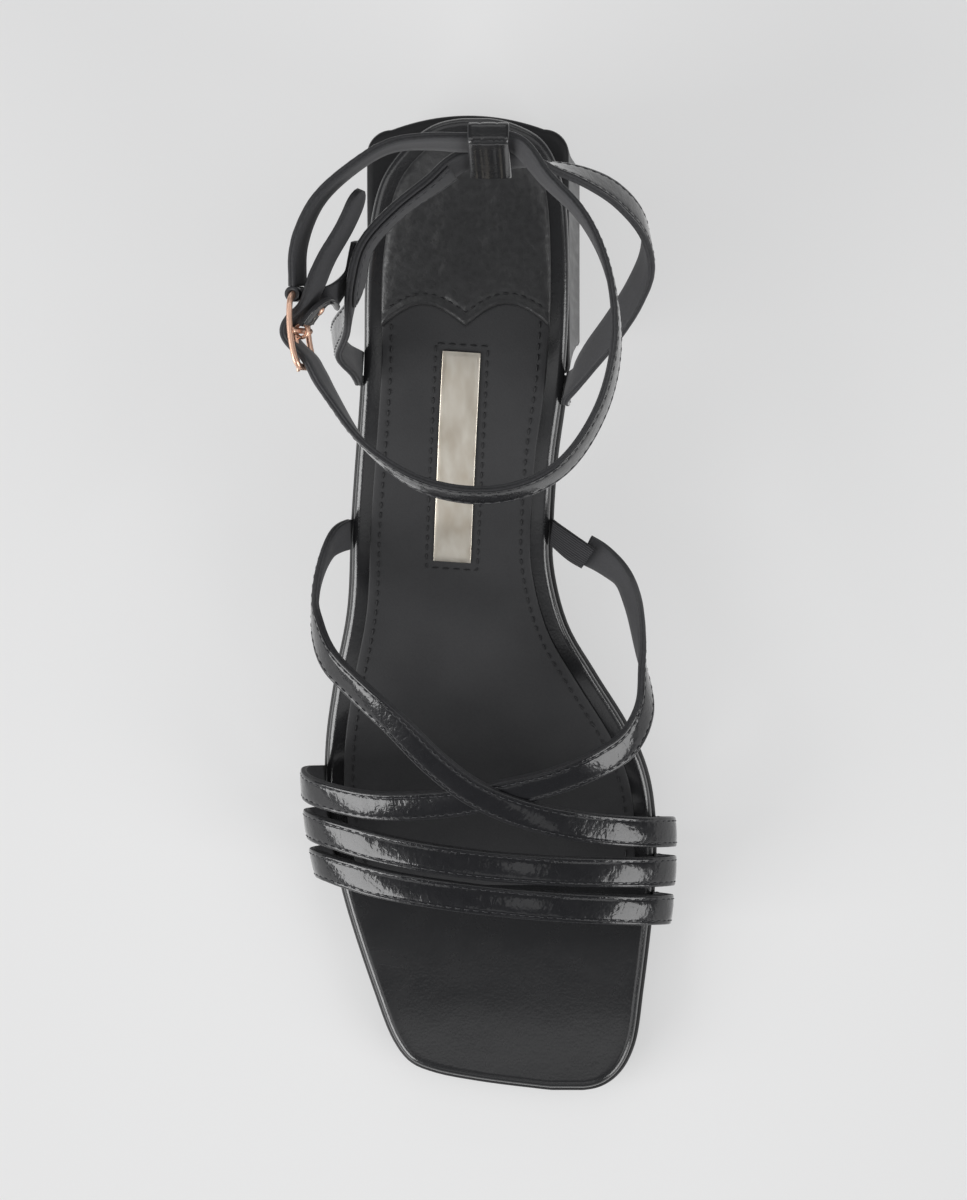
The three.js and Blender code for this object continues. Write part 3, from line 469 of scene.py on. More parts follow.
def tubePiece(name, path, radiusAt, material, closed=False, sides=12, flatten=1.0, up=None):
    # a round bar along a path; flatten squashes it along up
    points, uvs = [], []
    count = len(path)
    side = None
    for i, p in enumerate(path):
        before = path[i - 1] if closed or i else p
        after = path[(i + 1) % count] if closed or i < count - 1 else p
        tangent = (after - before).normalized()
        if up:
            across = tangent.cross(up)
        else:
            across = side - tangent * side.dot(tangent) if side else tangent.orthogonal()
        side = across.normalized()
        over = side.cross(tangent)
        radius = radiusAt(i / (count - 1))
        for corner in range(sides):
            angle = 2 * math.pi * corner / sides
            points.append(p + side * math.cos(angle) * radius + over * math.sin(angle) * radius * flatten)
            uvs.append((angle * radius, i * 0.5))
    faces = ringFaces(count, sides, closed=closed, turned=True)
    return makePiece(name, points, faces, uvs, [material])


def sewRow(name, track, sizes, material, slot):
    # track: (point, face) along the row; each stitch is a thread that dips at both ends
    pitch, length, radius = sizes["pitch"], sizes["stitch"], sizes["threadRadius"]
    points, faces, uvs = [], [], []
    runs = [0]
    for (a, _), (b, _) in zip(track, track[1:]):
        runs.append(runs[-1] + (b - a).length)
    sides, rings = 6, 6
    count = int((runs[-1] - length) / pitch)
    slack = (runs[-1] - count * pitch) / 2

    def at(run):
        i = 0
        while i < len(runs) - 2 and runs[i + 1] < run:
            i += 1
        t = min(max((run - runs[i]) / max(runs[i + 1] - runs[i], 1e-9), 0), 1)
        (a, faceA), (b, faceB) = track[i], track[i + 1]
        return a.lerp(b, t), faceA.lerp(faceB, t).normalized()

    for stitch in range(count + 1):
        middle = slack + stitch * pitch
        start = len(points)
        if middle - length / 2 < 0 or middle + length / 2 > runs[-1]:
            continue
        first, _ = at(middle - length / 2)
        final, face = at(middle + length / 2)
        tangent = (final - first).normalized()
        side = tangent.cross(face).normalized()
        for ring in range(rings):
            t = ring / (rings - 1) * 2 - 1
            centre, face = at(middle + t * length / 2)
            centre = centre + face * radius * (0.75 - 1.5 * t ** 4)
            swell = radius * (1 - 0.45 * abs(t) ** 3)
            for corner in range(sides):
                angle = 2 * math.pi * corner / sides
                points.append(centre + side * math.cos(angle) * swell + face * math.sin(angle) * swell)
                uvs.append((corner, ring))
        faces += ringFaces(rings, sides, start)
    return fitOut(makePiece(name, points, faces, uvs, [material]), slot)


# Materials

def newMaterial(name, settings):
    material = bpy.data.materials.new(name)
    material.use_nodes = True
    for key, value in settings.items():
        material.node_tree.nodes["Principled BSDF"].inputs[key].default_value = value
    return material


def wire(material, value, socket):
    shader = material.node_tree.nodes["Principled BSDF"]
    material.node_tree.links.new(value, shader.inputs[socket])


def addNode(material, kind, **settings):
    node = material.node_tree.nodes.new(kind)
    for key, value in settings.items():
        if key in node.inputs:
            node.inputs[key].default_value = value
        else:
            setattr(node, key, value)
    return node


def patternOf(material, kind, output, place, **settings):
    node = addNode(material, kind, **settings)
    material.node_tree.links.new(place, node.inputs["Vector"])
    return node.outputs[output]


def placeOf(material, scale=(1, 1, 1), byStrap=False):
    # the surface's own coordinates in millimetres, times a scale
    source = addNode(material, "ShaderNodeTexCoord").outputs["UV" if byStrap else "Object"]
    factor = 1 if byStrap else 1 / mm
    return patternOf(
        material, "ShaderNodeMapping", "Vector", source, Scale=[share * factor for share in scale],
    )


def noiseHeight(material, place, scale, detail=3, roughness=0.5, distortion=0.0):
    look = dict(Scale=scale, Detail=detail, Roughness=roughness, Distortion=distortion)
    return patternOf(material, "ShaderNodeTexNoise", "Fac", place, **look)


def cellHeight(material, place, scale):
    return patternOf(material, "ShaderNodeTexVoronoi", "Distance", place, feature="SMOOTH_F1", Scale=scale)


def follow(material, socket, pattern, *stops):
    # a socket of the shader follows a pattern through a ramp of (position, colour) stops
    ramp = addNode(material, "ShaderNodeValToRGB")
    while len(ramp.color_ramp.elements) < len(stops):
        ramp.color_ramp.elements.new(0.5)
    for element, (position, colour) in zip(ramp.color_ramp.elements, stops):
        element.position = position
        element.color = (*colour, 1) if isinstance(colour, tuple) else (colour, colour, colour, 1)
    material.node_tree.links.new(pattern, ramp.inputs["Fac"])
    wire(material, ramp.outputs["Color"], socket)


def bumpChain(material, *layers):
    # layers: (height output, distance in millimetres, strength)
    normal = None
    for height, distance, strength in layers:
        bump = addNode(material, "ShaderNodeBump", Strength=strength, Distance=distance * mm)
        material.node_tree.links.new(height, bump.inputs["Height"])
        if normal:
            material.node_tree.links.new(normal, bump.inputs["Normal"])
        normal = bump.outputs["Normal"]
    wire(material, normal, "Normal")
    return normal


def crinkledPatent():
    material = newMaterial("crinkledPatent", {
        "Base Color": (0.008, 0.008, 0.0095, 1), "IOR": 1.4, "Specular IOR Level": 0.3,
        "Coat Weight": 0.85, "Coat Roughness": 0.09,
    })
    place = placeOf(material)
    across = placeOf(material, (0.42, 0.55, 1), byStrap=True)
    folds = noiseHeight(material, across, 1.25, detail=2, roughness=0.45, distortion=0.9)
    pebbles = cellHeight(material, place, 1.1)
    haze = noiseHeight(material, place, 0.35, detail=3)
    follow(material, "Roughness", haze, (0.3, 0.24), (0.75, 0.34))
    normal = bumpChain(material, (folds, 0.17, 0.42), (pebbles, 0.07, 0.25))
    wire(material, normal, "Coat Normal")
    return material


def footbedLeather():
    # the footbed's cover: smooth glossy leather with a fine grain
    material = newMaterial("footbedLeather", {
        "Base Color": (0.013, 0.013, 0.014, 1), "Coat Weight": 0.7, "Coat Roughness": 0.14,
    })
    place = placeOf(material)
    grain = cellHeight(material, place, 1.7)
    waves = noiseHeight(material, place, 0.09, detail=2)
    haze = noiseHeight(material, place, 0.12, detail=4)
    follow(material, "Roughness", haze, (0.3, 0.2), (0.75, 0.32))
    creases = noiseHeight(material, placeOf(material, (1, 0.6, 1)), 0.4, detail=2, distortion=1)
    bumpChain(material, (waves, 0.6, 0.3), (creases, 0.12, 0.35), (grain, 0.1, 0.35))
    return material


def sockLeather():
    # the matte lining the foot stands on
    material = newMaterial("sockLeather", {})
    place = placeOf(material)
    nap = noiseHeight(material, place, 1.6, detail=4, roughness=0.6)
    cloud = noiseHeight(material, place, 0.06, detail=3)
    follow(material, "Base Color", cloud, (0.3, (0.022, 0.022, 0.0235)), (0.7, (0.030, 0.030, 0.0315)))
    follow(material, "Roughness", nap, (0.3, 0.55), (0.7, 0.68))
    bumpChain(material, (nap, 0.09, 0.5))
    return material


def padLeather():
    # soft tumbled leather on the heel pad
    material = newMaterial("padLeather", {"Coat Weight": 0.35, "Coat Roughness": 0.3})
    place = placeOf(material)
    pebbles = cellHeight(material, place, 0.75)
    fine = noiseHeight(material, place, 0.9, detail=4, roughness=0.6, distortion=0.5)
    follow(material, "Base Color", pebbles, (0.1, (0.013, 0.013, 0.0135)), (0.8, (0.024, 0.024, 0.025)))
    follow(material, "Roughness", fine, (0.3, 0.34), (0.7, 0.44))
    bumpChain(material, (fine, 0.35, 0.45), (pebbles, 0.16, 0.5))
    return material


def heelLeather():
    # smooth satin leather stretched over the heel block
    material = newMaterial("heelLeather", {
        "Base Color": (0.012, 0.012, 0.013, 1), "Specular IOR Level": 0.22, "Coat Weight": 0.12,
        "Coat Roughness": 0.3,
    })
    place = placeOf(material)
    grain = cellHeight(material, place, 1.5)
    streaks = noiseHeight(material, placeOf(material, (1, 1, 0.12)), 0.4, detail=3)
    follow(material, "Roughness", streaks, (0.3, 0.36), (0.7, 0.46))
    bumpChain(material, (streaks, 0.12, 0.25), (grain, 0.07, 0.3))
    return material


def cutEdge():
    # painted raw edge of the straps
    material = newMaterial("cutEdge", {"Roughness": 0.62})
    place = placeOf(material)
    fibres = noiseHeight(material, place, 1.4, detail=4)
    follow(material, "Base Color", fibres, (0.3, (0.022, 0.022, 0.024)), (0.7, (0.036, 0.036, 0.039)))
    bumpChain(material, (fibres, 0.1, 0.4))
    return material


def strapLining():
    # grey microfibre inside the straps
    material = newMaterial("strapLining", {"Roughness": 0.8, "Sheen Weight": 0.15})
    place = placeOf(material)
    nap = noiseHeight(material, place, 2.2, detail=4, roughness=0.65)
    follow(material, "Base Color", nap, (0.3, (0.03, 0.03, 0.032)), (0.7, (0.046, 0.046, 0.05)))
    bumpChain(material, (nap, 0.08, 0.5))
    return material


def wovenElastic():
    # ribs across and a fine rib along
    material = newMaterial("wovenElastic", {"Roughness": 0.85})
    place = placeOf(material, byStrap=True)
    wave = "ShaderNodeTexWave", "Fac", place
    ribs = patternOf(material, *wave, bands_direction="X", Scale=0.55)
    picks = patternOf(material, *wave, bands_direction="Y", Scale=0.8)
    follow(material, "Base Color", ribs, (0.1, (0.016, 0.016, 0.018)), (0.8, (0.05, 0.05, 0.054)))
    bumpChain(material, (ribs, 0.25, 0.7), (picks, 0.15, 0.6))
    return material


def soleRubber():
    material = newMaterial("soleRubber", {"Roughness": 0.55})
    place = placeOf(material)
    fine = noiseHeight(material, place, 1.2, detail=5, roughness=0.6)
    follow(material, "Base Color", fine, (0.3, (0.012, 0.012, 0.0125)), (0.7, (0.02, 0.02, 0.021)))
    bumpChain(material, (fine, 0.08, 0.4))
    return material


def blackThread():
    material = newMaterial("blackThread", {"Roughness": 0.5})
    twist = noiseHeight(material, placeOf(material), 3.5, detail=2)
    follow(material, "Base Color", twist, (0.3, (0.02, 0.02, 0.022)), (0.7, (0.045, 0.045, 0.05)))
    bumpChain(material, (twist, 0.05, 0.4))
    return material


def threadWithPaintedHoleShade():
    # black thread sunk in the matte lining, coloured darker still as painted shade of its stitch holes
    material = newMaterial("threadWithPaintedHoleShade", {"Roughness": 0.6})
    twist = noiseHeight(material, placeOf(material), 3.5, detail=2)
    # painted shade: the thread's colour is kept below the lining's so each stitch reads as a shadowed hole
    follow(material, "Base Color", twist, (0.3, (0.006, 0.006, 0.007)), (0.7, (0.012, 0.012, 0.013)))
    return material


def roseMetal():
    material = newMaterial("roseMetal", {"Base Color": (0.86, 0.55, 0.41, 1), "Metallic": 1.0})
    haze = noiseHeight(material, placeOf(material), 0.8, detail=4)
    follow(material, "Roughness", haze, (0.3, 0.3), (0.7, 0.4))
    bumpChain(material, (haze, 0.03, 0.2))
    return material


def paleGold():
    # the plate's polished face, with faint streaks along it
    material = newMaterial("paleGold", {"Metallic": 1.0})
    streaks = noiseHeight(material, placeOf(material, (0.9, 0.05, 1)), 0.35, detail=2, roughness=0.5)
    bends = noiseHeight(material, placeOf(material, (0.9, 0.25, 1)), 0.09, detail=1)
    follow(material, "Base Color", streaks, (0.3, (0.84, 0.75, 0.62)), (0.7, (0.98, 0.92, 0.81)))
    follow(material, "Roughness", streaks, (0.3, 0.3), (0.7, 0.4))
    bumpChain(material, (bends, 1.6, 0.5), (streaks, 0.02, 0.15))
    return material


patent, footbedCover, sockCover = crinkledPatent(), footbedLeather(), sockLeather()
padCover, heelCover, edgePaint = padLeather(), heelLeather(), cutEdge()
lining, elastic, rubber = strapLining(), wovenElastic(), soleRubber()
thread, holeShadeThread, rose, gold = blackThread(), threadWithPaintedHoleShade(), roseMetal(), paleGold()
strapMaterials = [patent, edgePaint, lining]
print("materials made")


# Footbed

footbed = dict(edgeRadius=1.9, edgeDrop=0.86, footRadius=0.8, rows=150, columns=30)


def makeFootbed():
    radius = footbed["edgeRadius"]
    loop = setIn(solePlan, radius)
    ys = stations(*endsOf(loop), footbed["rows"])
    top = gridOver(loop, ys, footbed["columns"], lambda x, y, share, row: insoleTop(y))
    bottom = gridOver(loop, ys, footbed["columns"], lambda x, y, share, row: insoleUnder(y))
    border = borderOf(top)
    rings = []
    steps = 9
    for step in range(1, steps + 1):
        angle = math.pi / 2 * step / steps
        drop = footbed["edgeDrop"] * radius * (1 - math.cos(angle))
        rings.append(pushOut(border, radius * math.sin(angle), lambda x, y: insoleTop(y) - drop))
    foot = footbed["footRadius"]
    rings.append(pushOut(border, radius - 0.05, lambda x, y: insoleUnder(y) + foot))
    rings.append(pushOut(border, radius - foot * 0.4, lambda x, y: insoleUnder(y) + foot * 0.3))
    rings.append(pushOut(border, radius - foot, lambda x, y: insoleUnder(y)))
    piece = solidBetween("footbed", top, rings, bottom, footbedCover)
    return fitOut(piece, "patent_leather", "insole")


makeFootbed()


# Outsole

outsole = dict(edgeRadius=0.5, rows=110, columns=24)


def makeOutsole():
    radius, gap = outsole["edgeRadius"], sole["clearance"]
    plan = setIn(solePlan, -sole["outsoleOverhang"])
    loop = setIn(plan, radius)
    breast = last["seatBack"] - sole["breastSetback"] - gap - radius
    ys = stations(breast, endsOf(loop)[1], outsole["rows"], roundBack=False)
    top = gridOver(loop, ys, outsole["columns"], lambda x, y, share, row: insoleUnder(y) - gap)
    thickness = sole["outsoleThickness"]
    under = lambda x, y, share=0, row=0: insoleUnder(y) - gap - thickness
    bottom = gridOver(loop, ys, outsole["columns"], under)
    border = borderOf(top)
    rings = [
        pushOut(border, radius * 0.7, lambda x, y: insoleUnder(y) - gap - radius * 0.3),
        pushOut(border, radius, lambda x, y: insoleUnder(y) - gap - radius),
        pushOut(border, radius, lambda x, y: insoleUnder(y) - gap - thickness + radius),
        pushOut(border, radius * 0.7, lambda x, y: insoleUnder(y) - gap - thickness + radius * 0.3),
    ]
    piece = solidBetween("outsole_sheet", top, rings, bottom, rubber)
    return fitOut(piece, "sole_rubber", "outsole")


makeOutsole()
print("sole made")


# Sock lining

sock = dict(
    inset=4.4, thickness=0.9, edge=0.35, frontShare=0.785, stitchInset=2.3,
    pitch=2.7, stitch=1.9, threadRadius=0.22,
)


def sockTop(y):
    return insoleTop(y) + sole["clearance"] + sock["thickness"]


def makeSock():
    edge = sock["edge"]
    loop = setIn(setIn(solePlan, sock["inset"]), edge)
    ys = stations(endsOf(loop)[0], alongToY(sock["frontShare"]), 120, roundFront=False)
    top = gridOver(loop, ys, 30, lambda x, y, share, row: sockTop(y))
    bottom = gridOver(loop, ys, 30, lambda x, y, share, row: insoleTop(y) + 0.02)
    border = borderOf(top)
    rings = [
        pushOut(border, edge - 0.15, lambda x, y: sockTop(y) - 0.08),
        pushOut(border, edge, lambda x, y: sockTop(y) - 0.3),
        pushOut(border, edge, lambda x, y: insoleTop(y) + 0.1),
    ]
    piece = solidBetween("sock_cover", top, rings, bottom, sockCover)
    fitOut(piece, "lining_leather", "sock_lining")
    loop = setIn(solePlan, sock["inset"] + sock["stitchInset"])
    front = alongToY(sock["frontShare"])
    track = [(Vector((p.x, p.y, sockTop(p.y))), Vector((0, 0, 1))) for p in loop]
    start = min(range(len(track)), key=lambda i: track[i][0].y)
    track = track[start:] + track[:start]
    track = [(p, n) for p, n in track if p.y > front]
    sewRow("sock_stitches", track, sock, holeShadeThread, "lining_leather")


makeSock()


# Heel pad

pad = dict(
    thickness=1.1, crown=1.4, length=46, scallop=5.2, rolledEdge=0.6, seamFromFront=2.1, seamFromSide=1.6,
    wrinkle=0.6, crease=0.1, dip=0.9, dipPlace=(0.56, 0.62), sideSpan=40, backSpan=30,
    pitch=2.2, stitch=1.5, threadRadius=0.2,
)


def padScallop(share, row):
    return pad["scallop"] * math.sin(math.pi * ((2 * share) % 1)) * row ** 3


def bell(distance, width):
    return math.exp(-(distance / width) ** 2)


def padHeight(x, y, share, row):
    fromFront, fromSide = (1 - row) * pad["length"], min(share, 1 - share) * pad["sideSpan"]
    fromRim = min(fromFront, fromSide, row * pad["backSpan"])
    soft = 1 - math.exp(-fromRim * 1.1)
    swell = math.sin(math.pi * share) * math.sin(math.pi * row)
    place = Vector((x * 0.05, y * 0.05, 3.1))
    wrinkle = noise.fractal(place, 0.8, 2.1, 4)
    crease = 1 - 2 * abs(noise.noise(place * 5.2)) - abs(noise.noise(place * 9.5 + Vector((4, 2, 1))))
    body = pad["thickness"] - 0.25 + pad["crown"] * swell
    body += pad["wrinkle"] * wrinkle + pad["crease"] * crease
    body -= pad["dip"] * bell(share - pad["dipPlace"][0], 0.2) * bell(row - pad["dipPlace"][1], 0.17)
    seams = 0.42 * bell(fromFront - pad["rolledEdge"], 0.45)
    seams -= 0.35 * bell(fromFront - pad["seamFromFront"], 0.5)
    return sockTop(y) + sole["clearance"] + 0.25 + soft * body + seams


def makePad():
    loop = setIn(solePlan, sock["inset"] - 0.1)
    back = endsOf(loop)[0]
    rows, columns = 130, 100
    ys = stations(back, back - pad["length"], rows, roundFront=False)
    top = gridOver(loop, ys, columns, padHeight, padScallop)
    bottom = gridOver(loop, ys, columns, lambda x, y, share, row: sockTop(y) + 0.05, padScallop)
    piece = solidBetween("heel_cushion", top, [], bottom, padCover)
    fitOut(piece, "padded_leather", "heel_pad")
    up = Vector((0, 0, 1))
    fromSeam = lambda row: abs((1 - row / (rows - 1)) * pad["length"] - pad["seamFromFront"])
    back = min(range(rows), key=fromSeam)
    seamShare = pad["seamFromSide"] / pad["sideSpan"]
    inner, outer = round(columns * seamShare), round(columns * (1 - seamShare))
    track = [(top[back][column], up) for column in range(inner, outer + 1)]
    sewRow("pad_stitches", track, pad, holeShadeThread, "lining_leather")


makePad()
print("lining and pad made")


# Plate

plate = dict(
    width=9.2, length=50.5, thickness=0.5, setback=81.5, offset=-3.2, turn=3.8, edge=0.12,
    stitchGap=1.7, pitch=2.6, stitch=1.9, threadRadius=0.2,
)


def platePoint(forward, side):
    turn = math.radians(plate["turn"])
    x = plate["offset"] + side * math.cos(turn) - forward * math.sin(turn)
    y = last["seatBack"] - plate["setback"] - forward * math.cos(turn) - side * math.sin(turn)
    return Vector((x, y, sockTop(y)))


def makePlate():
    rows, columns = 40, 8
    radius = plate["edge"]
    grid = lambda inset, rise: [[
        platePoint(
            (row / rows - 0.5) * (plate["length"] - 2 * inset),
            (column / columns - 0.5) * (plate["width"] - 2 * inset),
        ) + Vector((0, 0, rise)) for column in range(columns + 1)] for row in range(rows + 1)]
    rise = plate["thickness"] + 0.1
    top = grid(radius, rise)
    rings = [borderOf(grid(radius * 0.3, rise - radius * 0.3)), borderOf(grid(0, rise - radius))]
    piece = solidBetween("gold_plate", top, rings, grid(0, 0.02), gold)
    fitOut(piece, "plate_metal", "plate")
    halfLength, halfWidth = plate["length"] / 2 + plate["stitchGap"], plate["width"] / 2 + plate["stitchGap"]
    corners = [(f * halfLength, s * halfWidth) for f, s in ((-1, -1), (1, -1), (1, 1), (-1, 1))]
    track = []
    for (f0, s0), (f1, s1) in zip(corners, corners[1:] + corners[:1]):
        for step in range(20):
            t = step / 20
            track.append((platePoint(f0 + (f1 - f0) * t, s0 + (s1 - s0) * t), Vector((0, 0, 1))))
    track.append(track[0])
    sewRow("plate_stitches", track, plate, holeShadeThread, "lining_leather")


makePlate()


# Heel

heel = dict(
    restLength=52, width=49, flare=1.2, cornerRadius=6, breastCorner=1.2, breastBevel=0.35, bow=3.4,
    shoulder=1, topPiece=6, edge=0.7, topRoll=1.1, waist=0.012,
)


def heelPlan(halfWidth, back, front, height):
    radius = heel["cornerRadius"]
    points = []
    inner, shoulder = halfWidth - radius, back - heel["bow"] - radius

    def arc(cx, cy, start):
        for step in range(13):
            angle = math.radians(start + step * 7.5)
            points.append((cx + radius * math.cos(angle), cy + radius * math.sin(angle)))

    def straight(x0, y0, x1, y1, steps):
        for step in range(1, steps):
            points.append((x0 + (x1 - x0) * step / steps, y0 + (y1 - y0) * step / steps))

    arc(inner, shoulder, 0)
    for step in range(1, 24):
        share = 1 - step / 12
        points.append((inner * share, back - heel["bow"] * share ** 2))
    arc(-inner, shoulder, 90)
    corner, cut = heel["breastCorner"], heel["breastBevel"]
    bevel = [(halfWidth, front + corner), (halfWidth - cut, front + cut), (halfWidth - corner, front)]
    straight(-halfWidth, shoulder, -halfWidth, front + corner, 20)
    points += [(-x, y) for x, y in bevel]
    straight(corner - halfWidth, front, halfWidth - corner, front, 24)
    points += bevel[::-1]
    straight(halfWidth, front + corner, halfWidth, shoulder, 20)
    return [Vector((x, y, height(x, y))) for x, y in points]


def shrunk(ring, share, drop):
    middle = sum(ring, Vector()) / len(ring)
    return [Vector((*(middle.xy + (p.xy - middle.xy) * share), p.z + drop)) for p in ring]


def ringStack(name, rings, material):
    # a closed body from a stack of rings, top to bottom, with a fan at each end
    points, uvs = [], []
    count = len(rings[0])
    for ring in rings:
        run = 0
        for i, p in enumerate(ring):
            points.append(p)
            uvs.append((run, p.z))
            run += (ring[(i + 1) % count] - p).length
    faces = ringFaces(len(rings), count, capped=False, turned=True)
    for depth, flip in ((0, False), (len(rings) - 1, True)):
        points.append(sum(rings[depth], Vector()) / count)
        uvs.append((0, 0))
        for i in range(count):
            after = (i + 1) % count
            triangle = (depth * count + i, depth * count + after, len(points) - 1)
            faces.append(triangle[::-1] if flip else triangle)
    return makePiece(name, points, faces, uvs, [material])


def makeHeel():
    back = heel["restLength"] / 2
    breast = last["seatBack"] - sole["breastSetback"]
    gap = sole["clearance"]
    topBack = last["seatBack"] + heel["shoulder"]
    topRing = heelPlan(heel["width"] / 2, topBack, breast, lambda x, y: insoleUnder(y) - gap)
    restRing = heelPlan(heel["width"] / 2 + heel["flare"], back, -back, lambda x, y: heel["topPiece"] + gap)
    rings = [shrunk(topRing, 0.6, 0), shrunk(topRing, 0.93, 0), shrunk(topRing, 0.975, -0.05)]
    rings += [shrunk(topRing, 0.991, -0.3), shrunk(topRing, 1, -heel["topRoll"])]
    levels = 40
    for level in range(1, levels):
        t = level / levels
        bow = 1 - heel["waist"] * math.sin(math.pi * t)
        ring = [a.lerp(b, t) for a, b in zip(topRing, restRing)]
        rings.append(shrunk(ring, bow, -heel["topRoll"] * (1 - t)))
    rings += [restRing, shrunk(restRing, 0.99, -0.12), shrunk(restRing, 0.6, -0.12)]
    fitOut(ringStack("covered_heel", rings, heelCover), "lining_leather", "heel_block")
    edge, topPiece = heel["edge"], heel["topPiece"]
    flat = lambda z: [Vector((p.x, p.y, z)) for p in restRing]
    rings = [shrunk(flat(topPiece), 0.6, 0), shrunk(flat(topPiece), 0.985, 0)]
    rings += [shrunk(flat(topPiece - 0.25), 0.998, 0)]
    rings += [flat(topPiece - edge - step * 0.6) for step in range(8)]
    rings += [flat(edge), shrunk(flat(edge * 0.3), 0.994, 0)]
    rings += [shrunk(flat(0), 0.98, 0), shrunk(flat(0), 0.6, 0)]
    fitOut(ringStack("heel_rubber", rings, rubber), "sole_rubber", "heel_top_piece")


makeHeel()
print("heel made")


# Forefoot straps

straps = dict(thickness=1.8, width=7.5, stitchInset=1.05, pitch=2.3, stitch=1.6, threadRadius=0.17)
bands = dict(
    frontBand=dict(outer=0.759, inner=0.809, line=[
        (0.1, 0.76, 0), (0.2, 0.763, 0), (0.3, 0.773, 0), (0.39, 0.783, 0), (0.53, 0.795, 0),
        (0.67, 0.803, 0), (0.82, 0.808, 0), (0.93, 0.809, 0.012),
    ]),
    middleBand=dict(outer=0.719, inner=0.769, line=[
        (0.1, 0.72, 0), (0.2, 0.724, 0), (0.3, 0.734, 0), (0.41, 0.747, 0), (0.54, 0.759, 0),
        (0.67, 0.766, 0), (0.82, 0.769, 0), (0.93, 0.769, 0.012),
    ]),
    lowerCross=dict(outer=0.676, line=[
        (0.1, 0.677, 0), (0.2, 0.684, 0), (0.3, 0.693, 0), (0.39, 0.699, 0), (0.51, 0.696, 0),
        (0.6, 0.686, 0), (0.7, 0.672, 0), (0.78, 0.655, 0), (0.85, 0.635, 0.018), (0.9, 0.607, 0.06),
        (0.93, 0.573, 0.115, 0.08), (0.945, 0.53, 0.185, 0.3), (0.955, 0.485, 0.185, 0.7),
        (0.965, 0.452, 0.13, 1.1), (0.972, 0.438, 0.09, 1.3),
    ]),
    upperCross=dict(outer=0.42, inner=0.73, line=[
        (0.06, 0.432, 0.022), (0.11, 0.468, 0.048), (0.16, 0.508, 0.044), (0.26, 0.545, 0.022),
        (0.36, 0.578, 0.012), (0.44, 0.612, 0.014), (0.5, 0.648, 0.018), (0.56, 0.68, 0.018),
        (0.64, 0.705, 0.012), (0.73, 0.72, 0), (0.83, 0.727, 0), (0.93, 0.729, 0.012),
    ]),
)


def bandFrames(band):
    width, thickness = straps["width"], straps["thickness"]
    rows = edgeSeat(-1, band["outer"], width, thickness)
    rows += [lastRow(*row[:3], thickness, *row[3:]) for row in band["line"]]
    if "inner" in band:
        rows += edgeSeat(1, band["inner"], width, thickness)[::-1]
    return framesAlong(rows)


def sewAlong(name, frames, width, thickness, start=0):
    # a row of stitches near each edge of a strap
    chosen = frames[int(start * (len(frames) - 1)):]
    for side, label in ((1, "upper"), (-1, "lower")):
        across = side * (width / 2 - straps["stitchInset"])
        out = thickness / 2 - 0.1
        track = [(f["point"] + f["width"] * across + f["normal"] * out, f["normal"]) for f in chosen]
        sewRow(f"{name}_{label}_stitches", track, straps, thread, "patent_leather")


def makeBand(name, band, seed, *nodes):
    frames = bandFrames(band)
    section = strapSection(straps["width"], straps["thickness"])
    piece = strapPiece(name, frames, section, strapMaterials, seed=seed)
    fitOut(piece, "patent_leather", *nodes)
    sewAlong(name, frames, straps["width"], straps["thickness"])
    return frames


makeBand("front_toe_strap", bands["frontBand"], 1, "front_band")
makeBand("middle_toe_strap", bands["middleBand"], 2, "middle_band")
makeBand("lower_crossed_strap", bands["lowerCross"], 3, "crossed_straps")
makeBand("upper_crossed_strap", bands["upperCross"], 4, "crossed_straps")
print("forefoot straps made")


# Elastic tab

elasticTab = dict(width=6.5, thickness=1.2, along=0.418, ease=1.7)


def makeElasticTab():
    thickness = elasticTab["thickness"]
    rows = edgeSeat(1, elasticTab["along"], elasticTab["width"], thickness)
    for girth, along, standOff, droop in bands["lowerCross"]["line"][:-3:-1]:
        point, face = lastRow(girth, along, standOff, -thickness, droop)
        rows.append((point - face * (sole["clearance"] + elasticTab["ease"]), face))
    frames = framesAlong(rows, 0.5)
    w, t = elasticTab["width"] / 2, thickness / 2
    section = [(w, -t * 0.5, 0), (w, t * 0.5, 0), (w - 0.4, t, 0)]
    section += [(w * a, t, 0) for a in (0.6, 0.3, 0, -0.3, -0.6)]
    section += [(-w + 0.4, t, 0), (-w, t * 0.5, 0), (-w, -t * 0.5, 0), (-w + 0.4, -t, 0)]
    section += [(w * a, -t, 0) for a in (-0.5, 0, 0.5)] + [(w - 0.4, -t, 0)]
    piece = strapPiece("woven_tab", frames, section, [elastic, elastic], crinkle=0)
    return fitOut(piece, "elastic", "elastic_tab")


makeElasticTab()


# Keeper loop, sling and ankle strap

ankle = dict(slingWidth=8.4, slingInner=0.272, slingOuter=0.252, strapWidth=8, strapThickness=1.6, tip=5)
keeper = dict(width=9.5, wall=1.3, lean=20, play=0.6)
slingLine = [
    (0.345, 0.61, -0.09, 112), (0.4, 0.545, 0.02, 120), (0.475, 0.465, 0.14, 118), (0.55, 0.37, 0.28, 106),
    (0.594, 0.275, 0.42, 90), (0.575, 0.183, 0.54, 70), (0.496, 0.105, 0.64, 62), (0.391, 0.06, 0.735, 74),
    (0.27, 0.035, 0.815, 92),
]
slingOuterLine = [
    (-0.076, 0.084, 0.868, 104), (-0.195, 0.166, 0.885, 98), (-0.29, 0.265, 0.895, 97),
    (-0.318, 0.36, 0.875, 99), (-0.34, 0.445, 0.75, 101), (-0.398, 0.51, 0.47, 98), (-0.375, 0.552, 0.16, 94),
]
ankleFrontLine = [
    (-0.388, 0.69, 0.972, 102), (-0.275, 0.834, 0.968, 88), (-0.09, 0.944, 0.963, 74),
    (0.134, 0.967, 0.947, 70), (0.321, 0.899, 0.947, 72), (0.452, 0.731, 0.963, 78),
    (0.501, 0.531, 0.995, 84), (0.471, 0.33, 1.01, 92), (0.397, 0.19, 1.01, 100),
    (0.285, 0.083, 1.005, 106),
]
